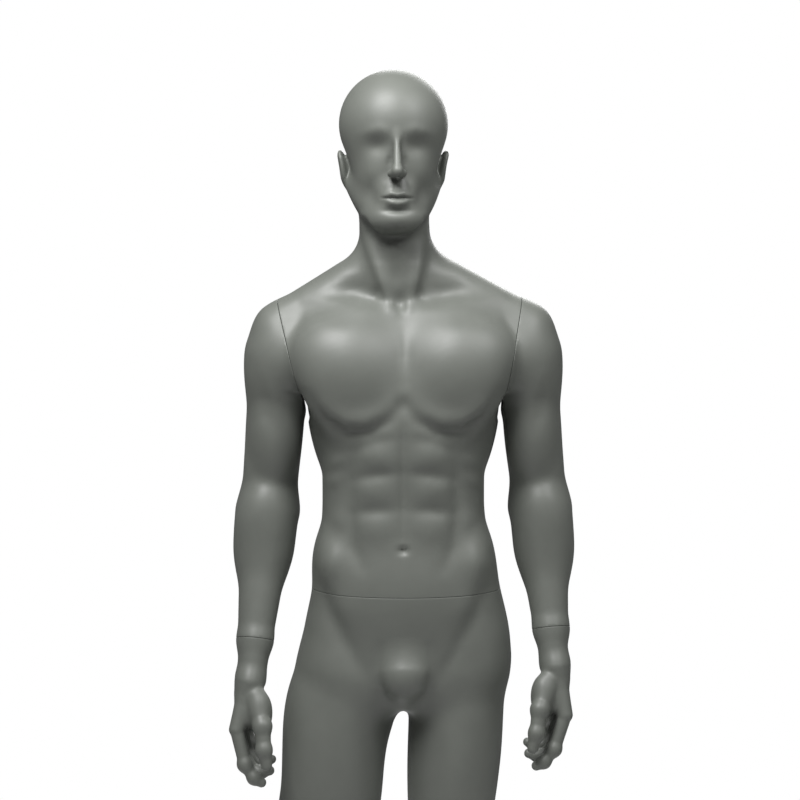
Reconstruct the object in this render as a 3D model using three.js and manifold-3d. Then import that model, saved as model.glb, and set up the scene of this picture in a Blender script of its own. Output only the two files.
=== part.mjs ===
// A full-size standing male display mannequin on a steel base, in millimetres.
// +Z is up, the face looks along -Y, and +X is the mannequin's left. The origin is the middle of
// the underside of the base. The skin is a hollow shell in four parts (head with trunk, hips with
// legs, and two arms) with two solid hands, joined by keyed fittings at the seams.
import * as THREE from 'three';
import { LoftGeometry } from 'three/addons/geometries/LoftGeometry.js';
import { mergeVertices } from 'three/addons/utils/BufferGeometryUtils.js';
import Module from 'manifold-3d';

const wasm = await Module();
wasm.setup();

// ---------------------------------------------------------------- driving dimensions

const FIGURE_X = 60; // the figure's centre line from the middle of the base
const GAP = 0.3; // between pieces that touch
const WALL = 5; // thickness of the skin
const BOARD = 6; // thickness of the plates that close the openings
const RECESS = 5; // of those plates, behind the edge of the skin
const FLANGE = 2; // thickness of the fittings' flanges

const WAIST_Z = 1085;
const ARMPIT_Z = 1380;
const SHOULDER_REACH = 92; // from a shoulder's middle down to the end of its cut
const CROTCH_Z = 905;
const HIP_JOIN_Z = 1000; // where each leg's own sections start
const PAD = { side: 410, corner: 22, thick: 2 };
const PLATE = { side: 420, corner: 26, thick: 8 };
const PLATE_TOP = PAD.thick + GAP + PLATE.thick;
const SOLE_Z = PLATE_TOP + GAP;

const HEAD = { x: -15, turn: 3.3 }; // the head sits a little to its right and looks a little left

// Each side has its own pose. s is the side's sign along X, and angles are in degrees.
const LEFT = {
    name: 'left',
    s: 1,
    shoulder: { at: [167, 4, 1457], droop: 10.7 },
    elbow: [212, 30, 1200],
    hand: { at: [231, -34, 971], tilt: 4.5 },
    wristCutZ: 1024,
    hip: [84, 2, 930],
    thigh: 0.9,
    knee: [58, -4, 495],
    ankle: [30, 40, 95],
    toeOut: 7,
    lean: 5,
};
const RIGHT = {
    name: 'right',
    s: -1,
    shoulder: { at: [-174, 4, 1457], droop: 14.6 },
    elbow: [-210, 30, 1195],
    hand: { at: [-232, -45, 950], tilt: 0 },
    wristCutZ: 1008,
    hip: [-80, 2, 930],
    thigh: 1,
    knee: [-178, -12, 500],
    ankle: [-196, 40, 95],
    toeOut: 18,
    lean: 11,
};
const SIDES = [LEFT, RIGHT];

// Keyed fittings. Lengths run along the seam's own axis from the seam.
const SHOULDER = { bore: 21, ring: 24, flange: 32, hub: 20.3, screws: 28, depth: 18, key: [20, 10] };
const WRIST = { hub: 8, flange: 11.5, collar: 10.5, key: 5, depth: 12, seat: 14 };
const SPIGOT = { size: [58, 38], wall: 3, flange: [96, 74], height: 62, pinX: 88, pin: 5 };
const SCREW = { shank: 1.9, head: 3.6, headHigh: 2, length: 7 };

// The rod leans forward out of its foot behind the left heel and up into the calf.
const ROD = { radius: 7, tilt: 18, top: [47, 14, 392], footZ: 14 };
const SLEEVE = { bore: 7.4, radius: 10, length: 190, cap: 2.6 };
const FOOT = { radius: 38, thick: 6, boss: 15, bossHigh: 50, flat: 13, screwAt: 32, screws: 29 };
const KNOB = { shank: 4, radius: 14, thick: 11, flute: 3.6, washer: 8.5, washerThick: 1.6 };

const SKIN = { color: 0x6c6f69, roughness: 0.45, metalness: 0 };
const STEEL = { color: 0xb4b6b8, roughness: 0.35, metalness: 1 };
const BOARD_LOOK = { color: 0x8a6f4e, roughness: 0.8, metalness: 0 };
const RUBBER = { color: 0x1c1c1d, roughness: 0.9, metalness: 0 };
const BLACK = { color: 0x26272a, roughness: 0.5, metalness: 0 };

// ---------------------------------------------------------------- forms of the body

const FAR = 60;
const vec = (p) => new THREE.Vector3(...p);

function smoothMin(a, b, blend) {
    const h = Math.max(blend - Math.abs(a - b), 0) / blend;
    return Math.min(a, b) - h * h * blend * 0.25;
}

// An ellipsoid. turn is in degrees about X, then Y, then Z.
function ball(at, radii, blend, turn = [0, 0, 0]) {
    const middle = vec(at);
    const euler = new THREE.Euler(...turn.map(THREE.MathUtils.degToRad), 'ZYX');
    const back = new THREE.Quaternion().setFromEuler(euler).invert();
    const p = new THREE.Vector3();
    return {
        blend,
        middle,
        reach: Math.max(...radii),
        distance(point) {
            p.subVectors(point, middle).applyQuaternion(back);
            const u = p.x / radii[0];
            const v = p.y / radii[1];
            const w = p.z / radii[2];
            const scaled = Math.hypot(u, v, w);
            const slope = Math.hypot(u / radii[0], v / radii[1], w / radii[2]) + 1e-6;
            return (scaled * (scaled - 1)) / slope;
        },
    };
}

// A round cone from a to b, made wider or narrower along one direction where widen isn't 1.
function bar(a, b, radiusA, radiusB, blend, across = null, widen = 1) {
    const start = vec(a);
    const run = vec(b).sub(start);
    const direction = across ? vec(across).normalize() : null;
    const p = new THREE.Vector3();
    return {
        blend,
        middle: start.clone().addScaledVector(run, 0.5),
        reach: run.length() / 2 + Math.max(radiusA, radiusB) * Math.max(1, widen),
        distance(point) {
            p.subVectors(point, start);
            const t = THREE.MathUtils.clamp(p.dot(run) / run.lengthSq(), 0, 1);
            p.addScaledVector(run, -t);
            if (direction) {
                p.addScaledVector(direction, (1 / widen - 1) * p.dot(direction));
            }
            const gap = p.length() - THREE.MathUtils.lerp(radiusA, radiusB, t);
            return widen < 1 ? gap * Math.sqrt(widen) : gap;
        },
    };
}

// Smooth curve through [z, value] stations.
function curveThrough(stations) {
    const slope = stations.slice(1).map((s, i) => (s[1] - stations[i][1]) / (s[0] - stations[i][0]));
    const tangent = stations.map((s, i) => {
        if (i === 0) {
            return slope[0];
        }
        if (i === stations.length - 1) {
            return slope[i - 1];
        }
        return slope[i] * slope[i - 1] <= 0 ? 0 : (slope[i] + slope[i - 1]) / 2;
    });
    return (z) => {
        let i = 0;
        while (i < stations.length - 2 && z > stations[i + 1][0]) {
            i++;
        }
        const h = stations[i + 1][0] - stations[i][0];
        const t = THREE.MathUtils.clamp((z - stations[i][0]) / h, 0, 1);
        const t2 = t * t;
        const t3 = t2 * t;
        return (
            (2 * t3 - 3 * t2 + 1) * stations[i][1] +
            (t3 - 2 * t2 + t) * h * tangent[i] +
            (3 * t2 - 2 * t3) * stations[i + 1][1] +
            (t3 - t2) * h * tangent[i + 1]
        );
    };
}

// Forms joined into one, so that they blend with each other by their own amounts.
function joined(forms, blend) {
    const box = new THREE.Box3();
    for (const form of forms) {
        box.expandByPoint(form.middle.clone().addScalar(form.reach));
        box.expandByPoint(form.middle.clone().addScalar(-form.reach));
    }
    const middle = box.getCenter(new THREE.Vector3());
    const reach = box.getSize(new THREE.Vector3()).length() / 2;
    return { blend, middle, reach, distance: (point) => distanceTo(forms, point) };
}

// Height, middle, half width, depth in front and depth behind, up the trunk.
const TRUNK_STATIONS = [
    [CROTCH_Z - 5, 0, 110, 64, 84],
    [940, 2, 142, 84, 102],
    [985, 4, 156, 92, 104],
    [1052, 5, 150, 95, 96],
    [1100, 4, 142, 97, 88],
    [1150, 2, 131, 97, 83],
    [1223, 0, 124, 96, 84],
    [1297, 0, 127, 103, 96],
    [1345, 0, 139, 106, 108],
    [1400, 0, 148, 102, 116],
    [1450, 0, 156, 90, 116],
    [1495, 0, 160, 66, 104],
    [1530, -2, 120, 38, 88],
    [1560, -5, 80, 25, 74],
];

function trunk() {
    const [middle, half, front, behind] = [1, 2, 3, 4].map((column) =>
        curveThrough(TRUNK_STATIONS.map((station) => [station[0], station[column]])),
    );
    const bottom = TRUNK_STATIONS[0][0];
    const top = TRUNK_STATIONS.at(-1)[0];
    const power = 2.25;
    return {
        blend: 10,
        middle: new THREE.Vector3(0, 0, (bottom + top) / 2),
        reach: 500,
        distance(point) {
            const a = half(point.z);
            const b = point.y < 0 ? front(point.z) : behind(point.z);
            const u = Math.abs(point.x - middle(point.z)) / a;
            const v = Math.abs(point.y) / b;
            const rho = (u ** power + v ** power) ** (1 / power) + 1e-6;
            const slope = Math.hypot(u ** (power - 1) / a, v ** (power - 1) / b) / rho ** (power - 1);
            const side = (rho - 1) / (slope + 1e-9);
            const ends = Math.max(bottom - point.z, point.z - top);
            return -smoothMin(-side, -ends, 30);
        },
    };
}

function trunkForms() {
    const forms = [trunk()];
    for (const s of [1, -1]) {
        forms.push(
            bar([s * 38 - 10, 18, 1573], [s * 192, 8, 1485], 34, 32, 30, [0, 1, 0], 1.25), // shoulder line
            ball([s * 99, 34, 1376], [43, 64, 108], 28, [0, s * -6, 0]), // side of the back
            ball([s * 78, 78, 1432], [52, 40, 78], 26, [-8, s * 10, 0]), // shoulder blade
            ball([s * 72, -62, 1402], [82, 48, 74], 26, [0, s * -14, s * -16]), // breast muscle
            bar([s * 70, -60, 1425], [s * 165, -20, 1430], 44, 30, 32),
            ball([s * 102, -6, 1130], [33, 74, 48], 24), // flank
            ball([s * 68, 66, 975], [76, 68, 82], 22, [0, 0, s * 8]), // buttock
            ball([s * 110 + 6, 10, 985], [45, 70, 85], 26), // hip
        );
    }
    forms.push(
        ball([0, -58, 1085], [96, 46, 90], 22), // belly
        bar([2, -62, 1008], [2, -80, 966], 24, 38, 14),
        bar([-10, 16, 1520], [-15, 14, 1680], 57, 52, 26), // neck
        bar([-12, -8, 1560], [-15, -12, 1665], 42, 40, 16),
    );
    return forms;
}

// Points of the head are set about its own middle, and turned with it.
function onHead(x, y, z) {
    const turn = THREE.MathUtils.degToRad(HEAD.turn);
    return [
        HEAD.x + x * Math.cos(turn) - y * Math.sin(turn),
        x * Math.sin(turn) + y * Math.cos(turn),
        z,
    ];
}

function headForms() {
    const turned = [0, 0, HEAD.turn];
    const forms = [
        ball(onHead(0, 12, 1794), [81, 96, 80], 10, turned), // skull
        ball(onHead(0, -22, 1786), [70, 66, 70], 30, turned), // forehead
        ball(onHead(0, -20, 1722), [62, 66, 92], 24, turned), // face
        ball(onHead(0, -70, 1648), [26, 22, 19], 16, turned), // chin
        ball(onHead(0, -74, 1684), [30, 20, 25], 14, turned), // mouth
        bar(onHead(0, -84, 1772), onHead(0, -106, 1722), 6, 9, 10), // nose
    ];
    for (const s of [1, -1]) {
        forms.push(
            bar(onHead(s * 53, 4, 1706), onHead(s * 19, -66, 1650), 16, 18, 22), // jaw
        );
    }
    return forms;
}

function armForms({ s, elbow, hand, wristCutZ }) {
    const [x, y, z] = elbow;
    const t = (wristCutZ - z) / (hand.at[2] - z);
    const cuff = elbow.map((v, i) => v + (hand.at[i] - v) * t);
    return [
        ball([s * 185, 4, 1437], [53, 57, 84], 26, [0, s * -4, 0]), // shoulder muscle
        bar([s * 188, 8, 1440], [x - s, 28, z + 15], 46, 42, 20),
        ball([s * 194, -6, 1318], [37, 31, 70], 14, [6, 0, 0]), // upper arm, front
        ball([s * 200, 36, 1335], [38, 30, 95], 16, [2, 0, 0]), // upper arm, back
        bar([x, y - 4, z], cuff, 43, 26.5, 16, [0, 1, 0], 0.96),
        ball([x + s * 6, 4, 1163], [42, 35, 66], 16, [16, s * -4, 0]), // forearm
        ball([x - s, 30, 1150], [35, 29, 70], 16, [16, 0, 0]),
        bar(cuff, hand.at, 25.5, 21, 12, [0, 1, 0], 1.2), // wrist
    ];
}

// A point of a hand, given outwards from the body, back and up from the middle of the wrist.
function onHand({ s, hand }, [out, back, up]) {
    const tilt = THREE.MathUtils.degToRad(hand.tilt);
    const turnedOut = out * Math.cos(tilt) + up * Math.sin(tilt);
    const turnedUp = up * Math.cos(tilt) - out * Math.sin(tilt);
    const carry = 0.12 * turnedUp; // the hand hangs a little forward
    return [hand.at[0] + s * turnedOut, hand.at[1] + back + carry, hand.at[2] + turnedUp];
}

// Knuckle, middle joint, end joint and tip of each finger, index first, and the radius at both ends.
const FINGERS = [
    { joints: [[20, -22, -70], [7, -24, -122], [-7, -24, -142], [-18, -23, -149]], radii: [11, 8] },
    { joints: [[20, -2, -74], [6, -3, -126], [-14, -4, -139], [-29, -4, -136]], radii: [11, 7.8] },
    { joints: [[18, 17, -71], [3, 16, -120], [-18, 14, -131], [-31, 12, -123]], radii: [10.5, 7.4] },
    { joints: [[15, 34, -64], [2, 33, -104], [-13, 31, -115], [-23, 29, -109]], radii: [9.5, 6.8] },
];
const THUMB = { joints: [[-8, -20, -22], [-20, -37, -62], [-23, -43, -96], [-27, -43, -119]], radii: [14, 9] };
const PALM = [[4, 1, -14], [7, 3, -30], [10, 5, -46], [13, 6, -60], [16, 6, -72]]; // down its middle

function palmForms(side) {
    const at = (p) => onHand(side, p);
    return [
        ...armForms(side).slice(-4), // lower arm
        bar(at([2, 0, 0]), at([8, 2, -20]), 19, 16, 16, [0, 1, 0], 1.5),
        ...FINGERS.map(({ joints }) => bar(at([5, joints[0][1] * 0.55, -14]), at(joints[0]), 14, 12, 12)),
        ball(at([-15, -19, -46]), [19, 21, 34], 16), // ball of the thumb
        ball(at([2, 22, -44]), [17, 20, 34], 14), // heel of the hand
    ];
}

function legForms({ s, hip, thigh, knee, ankle, toeOut, lean }) {
    const mix = (a, b, t, push = [0, 0, 0]) => a.map((v, i) => v + (b[i] - v) * t + push[i]);
    const turn = THREE.MathUtils.degToRad(toeOut) * s;
    const forward = [Math.sin(turn), -Math.cos(turn)];
    const across = [Math.cos(turn), Math.sin(turn), 0];
    const foot = (along, up) => [
        ankle[0] + forward[0] * along,
        ankle[1] + forward[1] * along,
        SOLE_Z + up,
    ];
    const floor = {
        cut: true,
        blend: 6,
        middle: vec(ankle),
        reach: 400,
        distance: (point) => point.z - SOLE_Z,
    };
    return [
        bar([hip[0], hip[1], hip[2] + 20], knee, 84 * thigh, 50, 14),
        ball(mix(hip, knee, 0.25, [s * 4, -12, 0]), [70 * thigh, 66, 150], 24, [0, lean * s, 0]),
        ball(mix(hip, knee, 0.35, [s * 10, -26, 0]), [52 * thigh, 46, 140], 20), // thigh, front
        ball(mix(knee, ankle, 0, [0, -14, 0]), [36, 38, 42], 20), // kneecap
        bar(knee, ankle, 46, 32, 20),
        ball(mix(knee, ankle, 0.3, [s * -6, 26, 0]), [44, 40, 110], 20), // calf
        ball(mix(knee, ankle, 0.28, [s * 14, 10, 0]), [38, 42, 110], 20),
        ball(foot(-22, 30), [29, 30, 30], 16), // heel
        bar(foot(0, 66), foot(120, 24), 30, 24, 18, across, 1.15), // instep
        bar(foot(-15, 22), foot(150, 16), 26, 20, 14, across, 1.4), // ball and toes
        ball(mix(ankle, knee, 0, [s * 24, 2, -5]), [11, 13, 14], 10), // ankle bones
        ball(mix(ankle, knee, 0, [s * -24, -4, 2]), [11, 13, 14], 10),
        floor,
    ];
}

// Distance outside the skin at a point: below zero inside it.
function distanceTo(forms, point) {
    let value = FAR;
    for (const form of forms) {
        if (point.distanceTo(form.middle) > form.reach + form.blend + FAR) {
            continue;
        }
        const d = form.distance(point);
        value = form.cut ? -smoothMin(-value, d, form.blend) : smoothMin(value, d, form.blend);
    }
    return value;
}

// ---------------------------------------------------------------- solids

function toSolid(geometry) {
    const bare = new THREE.BufferGeometry();
    bare.setAttribute('position', geometry.getAttribute('position'));
    bare.setIndex(geometry.index);
    const merged = mergeVertices(bare, 1e-4);
    return new wasm.Manifold(
        new wasm.Mesh({
            numProp: 3,
            vertProperties: new Float32Array(merged.getAttribute('position').array),
            triVerts: new Uint32Array(merged.index.array),
        }),
    );
}

function toGeometry(solid) {
    const mesh = solid.getMesh();
    const geometry = new THREE.BufferGeometry();
    geometry.setAttribute('position', new THREE.BufferAttribute(new Float32Array(mesh.vertProperties), 3));
    geometry.setIndex(new THREE.BufferAttribute(new Uint32Array(mesh.triVerts), 1));
    const faceted = geometry.toNonIndexed();
    faceted.computeVertexNormals();
    return faceted;
}

// The largest of a solid's separate bodies, without the slivers that a cut leaves.
function largest(solid) {
    const bodies = solid.decompose();
    return bodies.reduce((best, body) => (body.volume() > best.volume() ? body : best));
}

// A solid of revolution about Z, from [radius, height] points.
function turned(profile, segments = 16) {
    const points = profile.map(([radius, height]) => new THREE.Vector2(radius, height));
    return toSolid(new THREE.LatheGeometry(points, segments).rotateX(Math.PI / 2));
}

function post(radius, from, to, segments = 16) {
    return turned([[0, from], [radius, from], [radius, to], [0, to]], segments);
}

function extruded(shape, from, to, curveSegments = 4) {
    const options = { depth: to - from, bevelEnabled: false, curveSegments };
    return toSolid(new THREE.ExtrudeGeometry(shape, options).translate(0, 0, from));
}

function roundedRectangle([width, height], corner) {
    const shape = new THREE.Shape();
    const x = width / 2;
    const y = height / 2;
    shape.moveTo(x - corner, -y);
    shape.absarc(x - corner, corner - y, corner, -Math.PI / 2, 0);
    shape.absarc(x - corner, y - corner, corner, 0, Math.PI / 2);
    shape.absarc(corner - x, y - corner, corner, Math.PI / 2, Math.PI);
    shape.absarc(corner - x, corner - y, corner, Math.PI, Math.PI * 1.5);
    shape.closePath();
    return shape;
}

function polygon(radius, sides) {
    const points = Array.from({ length: sides }, (_, i) => {
        const angle = (2 * Math.PI * i) / sides;
        return new THREE.Vector2(radius * Math.cos(angle), radius * Math.sin(angle));
    });
    return new THREE.Shape(points);
}

// The frame of a seam or fitting: its middle, its axis, which becomes the fittings' own +Z, and
// the direction that their own +X leans towards.
function frameOf(at, axis, towards) {
    const z = vec(axis).normalize();
    const x = vec(towards);
    x.addScaledVector(z, -x.dot(z)).normalize();
    const y = new THREE.Vector3().crossVectors(z, x);
    return new THREE.Matrix4().makeBasis(x, y, z).setPosition(...at);
}

// A big block across a frame, from one height over it to another.
function slab(frame, from, to, size = 2400) {
    const block = new THREE.BoxGeometry(size, size, to - from).translate(0, 0, (from + to) / 2);
    return toSolid(block.applyMatrix4(frame));
}

// Sections around a path, found by looking outwards from it for the skin, or for the surface that
// lies depth inside the skin. Each stop holds a middle, the two directions that its ring spans,
// the forms that it meets and how far its points gather towards u. limit is above zero where the
// solid may not go.
function loftAround(stops, sides, depth, limit = () => -FAR) {
    const point = new THREE.Vector3();
    const direction = new THREE.Vector3();
    const stride = 5;
    const sections = stops.map(({ forms, middle, u, v, gather = 0 }) => {
        const outside = (far) => {
            point.copy(middle).addScaledVector(direction, far);
            return Math.max(distanceTo(forms, point) + depth, limit(point)) > 0;
        };
        const section = [];
        for (let i = 0; i < sides; i++) {
            const even = (2 * Math.PI * i) / sides;
            const angle = even - gather * Math.sin(2 * even);
            direction.copy(u).multiplyScalar(Math.cos(angle)).addScaledVector(v, Math.sin(angle));
            let far = stride;
            while (!outside(far)) {
                far += stride;
            }
            let near = far - stride;
            for (let halving = 0; halving < 10; halving++) {
                const half = (near + far) / 2;
                if (outside(half)) {
                    far = half;
                } else {
                    near = half;
                }
            }
            section.push(middle.clone().addScaledVector(direction, Math.max(near, 1)));
        }
        return section;
    });
    return toSolid(new LoftGeometry(sections, { capStart: true, capEnd: true }));
}

// Level rings at each height. Upward paths run counterclockwise, and downward ones clockwise.
function levelStops(heights, middleX, middleY, formsAt) {
    const v = new THREE.Vector3(0, Math.sign(heights[1] - heights[0]), 0);
    return heights.map((z) => ({
        middle: new THREE.Vector3(middleX(z), middleY(z), z),
        u: ACROSS,
        v,
        forms: formsAt(z),
    }));
}

const UP = new THREE.Vector3(0, 0, 1);
const ACROSS = new THREE.Vector3(1, 0, 0);

function evenly(from, to, count) {
    return Array.from({ length: count + 1 }, (_, i) => from + ((to - from) * i) / count);
}

// ---------------------------------------------------------------- the seams' frames

const waist = new THREE.Matrix4().makeTranslation(0, 0, WAIST_Z);

function shoulderOf({ s, shoulder }) {
    const droop = THREE.MathUtils.degToRad(shoulder.droop);
    return frameOf(shoulder.at, [s * Math.cos(droop), 0, -Math.sin(droop)], [0, 0, 1]);
}

function wristOf({ elbow, hand, wristCutZ }) {
    const axis = vec(hand.at).sub(vec(elbow)).normalize();
    const at = vec(elbow).addScaledVector(axis, (wristCutZ - elbow[2]) / axis.z);
    return frameOf(at.toArray(), axis.toArray(), [0, -1, 0]);
}

function heightOver(frame) {
    const inverse = frame.clone().invert();
    const local = new THREE.Vector3();
    return (point) => local.copy(point).applyMatrix4(inverse).z;
}

// ---------------------------------------------------------------- skins

const trunkOnly = [...trunkForms(), ...headForms()];
const arms = new Map(SIDES.map((side) => [side, armForms(side)]));
const legs = new Map(SIDES.map((side) => [side, legForms(side)]));
const trunkAndArms = [...trunkOnly, ...SIDES.map((side) => joined(arms.get(side), 10))];
const trunkAndLegs = [...trunkForms(), ...SIDES.map((side) => joined(legs.get(side), 22))];

// How far a skin runs past a cut before it is cut. The hollow runs further, so that it opens there.
function overshoot(depth) {
    return depth > 0 ? 12 : 8;
}

// The hollow is coarser than the outside.
function choose(depth, outside, hollow) {
    return depth > 0 ? hollow : outside;
}

function ear(s) {
    const lean = new THREE.Matrix4().makeRotationX(THREE.MathUtils.degToRad(12));
    const shape = new THREE.SphereGeometry(1, 10, 8).scale(9, 16, 31).applyMatrix4(lean);
    return toSolid(shape.translate(...onHead(s * 70, 10, 1722)));
}

function torsoSolid(depth) {
    const middleX = curveThrough([[1000, 0], [1500, 0], [1620, -14], [1876, -15]]);
    const middleY = curveThrough([[1000, 0], [1500, 5], [1590, 12], [1660, -8], [1876, 8]]);
    const heights = [
        ...evenly(WAIST_Z - overshoot(depth), ARMPIT_Z - 6, choose(depth, 8, 7)),
        ...evenly(ARMPIT_Z + 8, 1500, choose(depth, 4, 3)),
        ...evenly(1514, 1620, choose(depth, 7, 5)),
        ...evenly(1636, 1848, choose(depth, 12, 5)),
        1861,
        ...choose(depth, [1869], []),
    ];
    const overShoulders = SIDES.map((side) => heightOver(shoulderOf(side)));
    const limit = (point) => {
        const past = Math.max(...overShoulders.map((over) => over(point)));
        return point.z < ARMPIT_Z ? -FAR : past - overshoot(depth);
    };
    const stops = levelStops(heights, middleX, middleY, (z) => (z < ARMPIT_Z ? trunkOnly : trunkAndArms));
    for (const stop of stops) {
        stop.gather = stop.middle.z < 1550 ? 0.3 : 0;
    }
    return loftAround(stops, choose(depth, 28, 16), depth, limit);
}

function armSolid(side, depth) {
    const { s, elbow, hand } = side;
    const axis = vec(hand.at).sub(vec(elbow)).normalize();
    const end = vec(hand.at).addScaledVector(axis, -10);
    const path = (i, atTop) =>
        curveThrough([
            [end.z, end.getComponent(i)],
            [elbow[2], elbow[i] + (i === 1 ? -8 : 0)],
            [1455, atTop],
            [1530, atTop],
        ]);
    const heights = [
        ...choose(depth, [1524, 1515], [1515]),
        ...evenly(1502, ARMPIT_Z + 8, choose(depth, 4, 3)),
        ...evenly(ARMPIT_Z - 6, 1210, choose(depth, 5, 3)),
        ...evenly(1184, end.z, choose(depth, 7, 4)),
    ];
    const over = heightOver(shoulderOf(side));
    const clear = 2; // between the arm and the trunk below the armpit
    const limit = (point) => {
        if (point.z < ARMPIT_Z) {
            return clear - distanceTo(trunkOnly, point);
        }
        return -over(point) - overshoot(depth);
    };
    const all = [...trunkForms(), joined(arms.get(side), 10)];
    const formsAt = (z) => (z < ARMPIT_Z ? arms.get(side) : all);
    const stops = levelStops(heights, path(0, s * 193), path(1, 5), formsAt);
    return loftAround(stops, choose(depth, 16, 12), depth, limit);
}

function footSolid(side, depth) {
    const { s, ankle, toeOut } = side;
    const turn = THREE.MathUtils.degToRad(toeOut) * s;
    const forward = new THREE.Vector3(Math.sin(turn), -Math.cos(turn), 0);
    const low = new THREE.Vector3(ankle[0], ankle[1], SOLE_Z + 14);
    const along = choose(depth, [-46, -36, -18, 10, 44, 78, 110, 138, 156, 165], [-36, -10, 40, 90, 140]);
    const stops = along.map((distance) => ({
        middle: low.clone().addScaledVector(forward, distance),
        u: new THREE.Vector3().crossVectors(UP, forward),
        v: UP,
        forms: legs.get(side),
    }));
    const underAnkle = (point) => point.z - SOLE_Z - 80;
    return loftAround(stops, choose(depth, 12, 8), depth, underAnkle);
}

function legSolid(side, depth) {
    const { s, hip, knee, ankle } = side;
    const path = (i) => curveThrough([ankle, knee, hip].map((joint) => [joint[2], joint[i]]));
    const heights = [
        ...evenly(HIP_JOIN_Z, CROTCH_Z + 5, choose(depth, 4, 4)),
        ...evenly(CROTCH_Z - 20, 560, choose(depth, 5, 3)),
        ...evenly(520, 130, choose(depth, 7, 4)),
        95,
        60,
    ];
    const past = choose(depth, 3, -WALL / 2); // the outsides meet at the crotch, and the hollows don't
    const limit = (point) => (point.z > CROTCH_Z ? -s * point.x - past : -FAR);
    const withTrunk = [...trunkForms(), joined(legs.get(side), 22)];
    const formsAt = (z) => (z > CROTCH_Z - 20 ? withTrunk : legs.get(side));
    const stops = levelStops(heights, path(0), path(1), formsAt);
    return loftAround(stops, choose(depth, 20, 16), depth, limit).add(footSolid(side, depth));
}

function hipsSolid(depth) {
    const heights = evenly(WAIST_Z + overshoot(depth), HIP_JOIN_Z - 6, choose(depth, 4, 3));
    const still = () => 0;
    const stops = levelStops(heights, still, still, () => trunkAndLegs);
    const hips = loftAround(stops, choose(depth, 36, 24), depth);
    return SIDES.reduce((whole, side) => whole.add(legSolid(side, depth)), hips);
}

// A round-ended bar through the given points, for a finger.
function fingerSolid(points, [from, to]) {
    const path = new THREE.CatmullRomCurve3(points.map(vec));
    const sides = 6;
    const ring = (t, radius, push) => {
        const w = path.getTangent(t);
        const u = new THREE.Vector3(0, 1, 0).addScaledVector(w, -w.y).normalize();
        const v = new THREE.Vector3().crossVectors(w, u);
        const middle = path.getPoint(t).addScaledVector(w, push);
        return Array.from({ length: sides }, (_, i) => {
            const angle = (2 * Math.PI * i) / sides;
            const rim = middle.clone().addScaledVector(u, Math.cos(angle) * radius);
            return rim.addScaledVector(v, Math.sin(angle) * radius);
        });
    };
    const sections = evenly(0, 1, 4).map((t) => ring(t, THREE.MathUtils.lerp(from, to, t), 0));
    sections.push(ring(1, to * 0.55, to * 0.75));
    return toSolid(new LoftGeometry(sections, { capStart: true, capEnd: true }));
}

function handSolid(side) {
    const forms = palmForms(side);
    const wrist = wristOf(side);
    const axis = new THREE.Vector3().setFromMatrixColumn(wrist, 2);
    const cut = new THREE.Vector3().setFromMatrixPosition(wrist);
    const toHand = vec(onHand(side, [0, 0, 0]));
    const start = cut.clone().addScaledVector(axis, -overshoot(0));
    const middles = [start, cut, cut.clone().lerp(toHand, 0.5), toHand];
    for (const spot of PALM) {
        middles.push(vec(onHand(side, spot)));
    }
    const v = new THREE.Vector3(0, -1, 0);
    const stops = middles.map((middle) => ({ middle, u: ACROSS, v, forms }));
    const palm = loftAround(stops, 12, 0);
    const digits = [...FINGERS, THUMB].map(({ joints, radii }) =>
        fingerSolid(joints.map((joint) => onHand(side, joint)), radii),
    );
    return digits.reduce((whole, digit) => whole.add(digit), palm).intersect(slab(wrist, GAP, 600));
}

// The hollow of a skin, drawn in by the gap, across a seam: the outline of a board that closes it.
function boardIn(skin, frame, from, to, size = 2400) {
    return skin(WALL + 1).intersect(slab(frame, from, to, size));
}

// ---------------------------------------------------------------- the figure's scene graph

const object = new THREE.Group();
const figure = new THREE.Group();
figure.position.x = FIGURE_X;
object.add(figure);

function place(parent, name, solid, look) {
    const mesh = new THREE.Mesh(toGeometry(largest(solid)), new THREE.MeshStandardMaterial(look));
    mesh.name = name;
    parent.add(mesh);
}

function groupAt(frame) {
    const group = new THREE.Group();
    group.applyMatrix4(frame);
    figure.add(group);
    return group;
}

function inFrame(frame, solid) {
    return toSolid(toGeometry(solid).applyMatrix4(frame));
}

// A pan-head screw along +Z, with its head's underside at zero. Drilled holes are wider by the gap.
function screw() {
    const { shank, head, headHigh, length } = SCREW;
    const outline = [[0, -length], [shank, -length], [shank, 0], [head, 0], [head, headHigh], [0, headHigh]];
    return turned(outline, 8);
}

function screwsAt(spots, height, flip = 1) {
    return spots.map(([x, y]) => {
        const matrix = new THREE.Matrix4().makeTranslation(x, y, height);
        return flip > 0 ? matrix : matrix.multiply(new THREE.Matrix4().makeRotationX(Math.PI));
    });
}

function drilled(solid, screws, frame = new THREE.Matrix4()) {
    const hole = toGeometry(post(SCREW.shank + 2 * GAP, -SCREW.length - 2, 2, 6));
    return screws.reduce(
        (left, matrix) => left.subtract(toSolid(hole.clone().applyMatrix4(frame.clone().multiply(matrix)))),
        solid,
    );
}

function placeScrews(parent, name, screws) {
    screws.forEach((matrix, i) => {
        place(parent, `${name}_${i + 1}`, toSolid(toGeometry(screw()).applyMatrix4(matrix)), STEEL);
    });
}

function aroundCircle(radius, count, start = 0) {
    return Array.from({ length: count }, (_, i) => {
        const angle = start + (2 * Math.PI * i) / count;
        return [radius * Math.cos(angle), radius * Math.sin(angle)];
    });
}

// Heights of the boards and flanges, from the seam into the part that they close.
const BOARD_NEAR = RECESS;
const BOARD_FAR = RECESS + BOARD;
const FLANGE_FAR = RECESS - GAP;
const FLANGE_NEAR = FLANGE_FAR - FLANGE;
const HEAD_UNDER = FLANGE_NEAR - GAP;

// ---------------------------------------------------------------- shoulders

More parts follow.
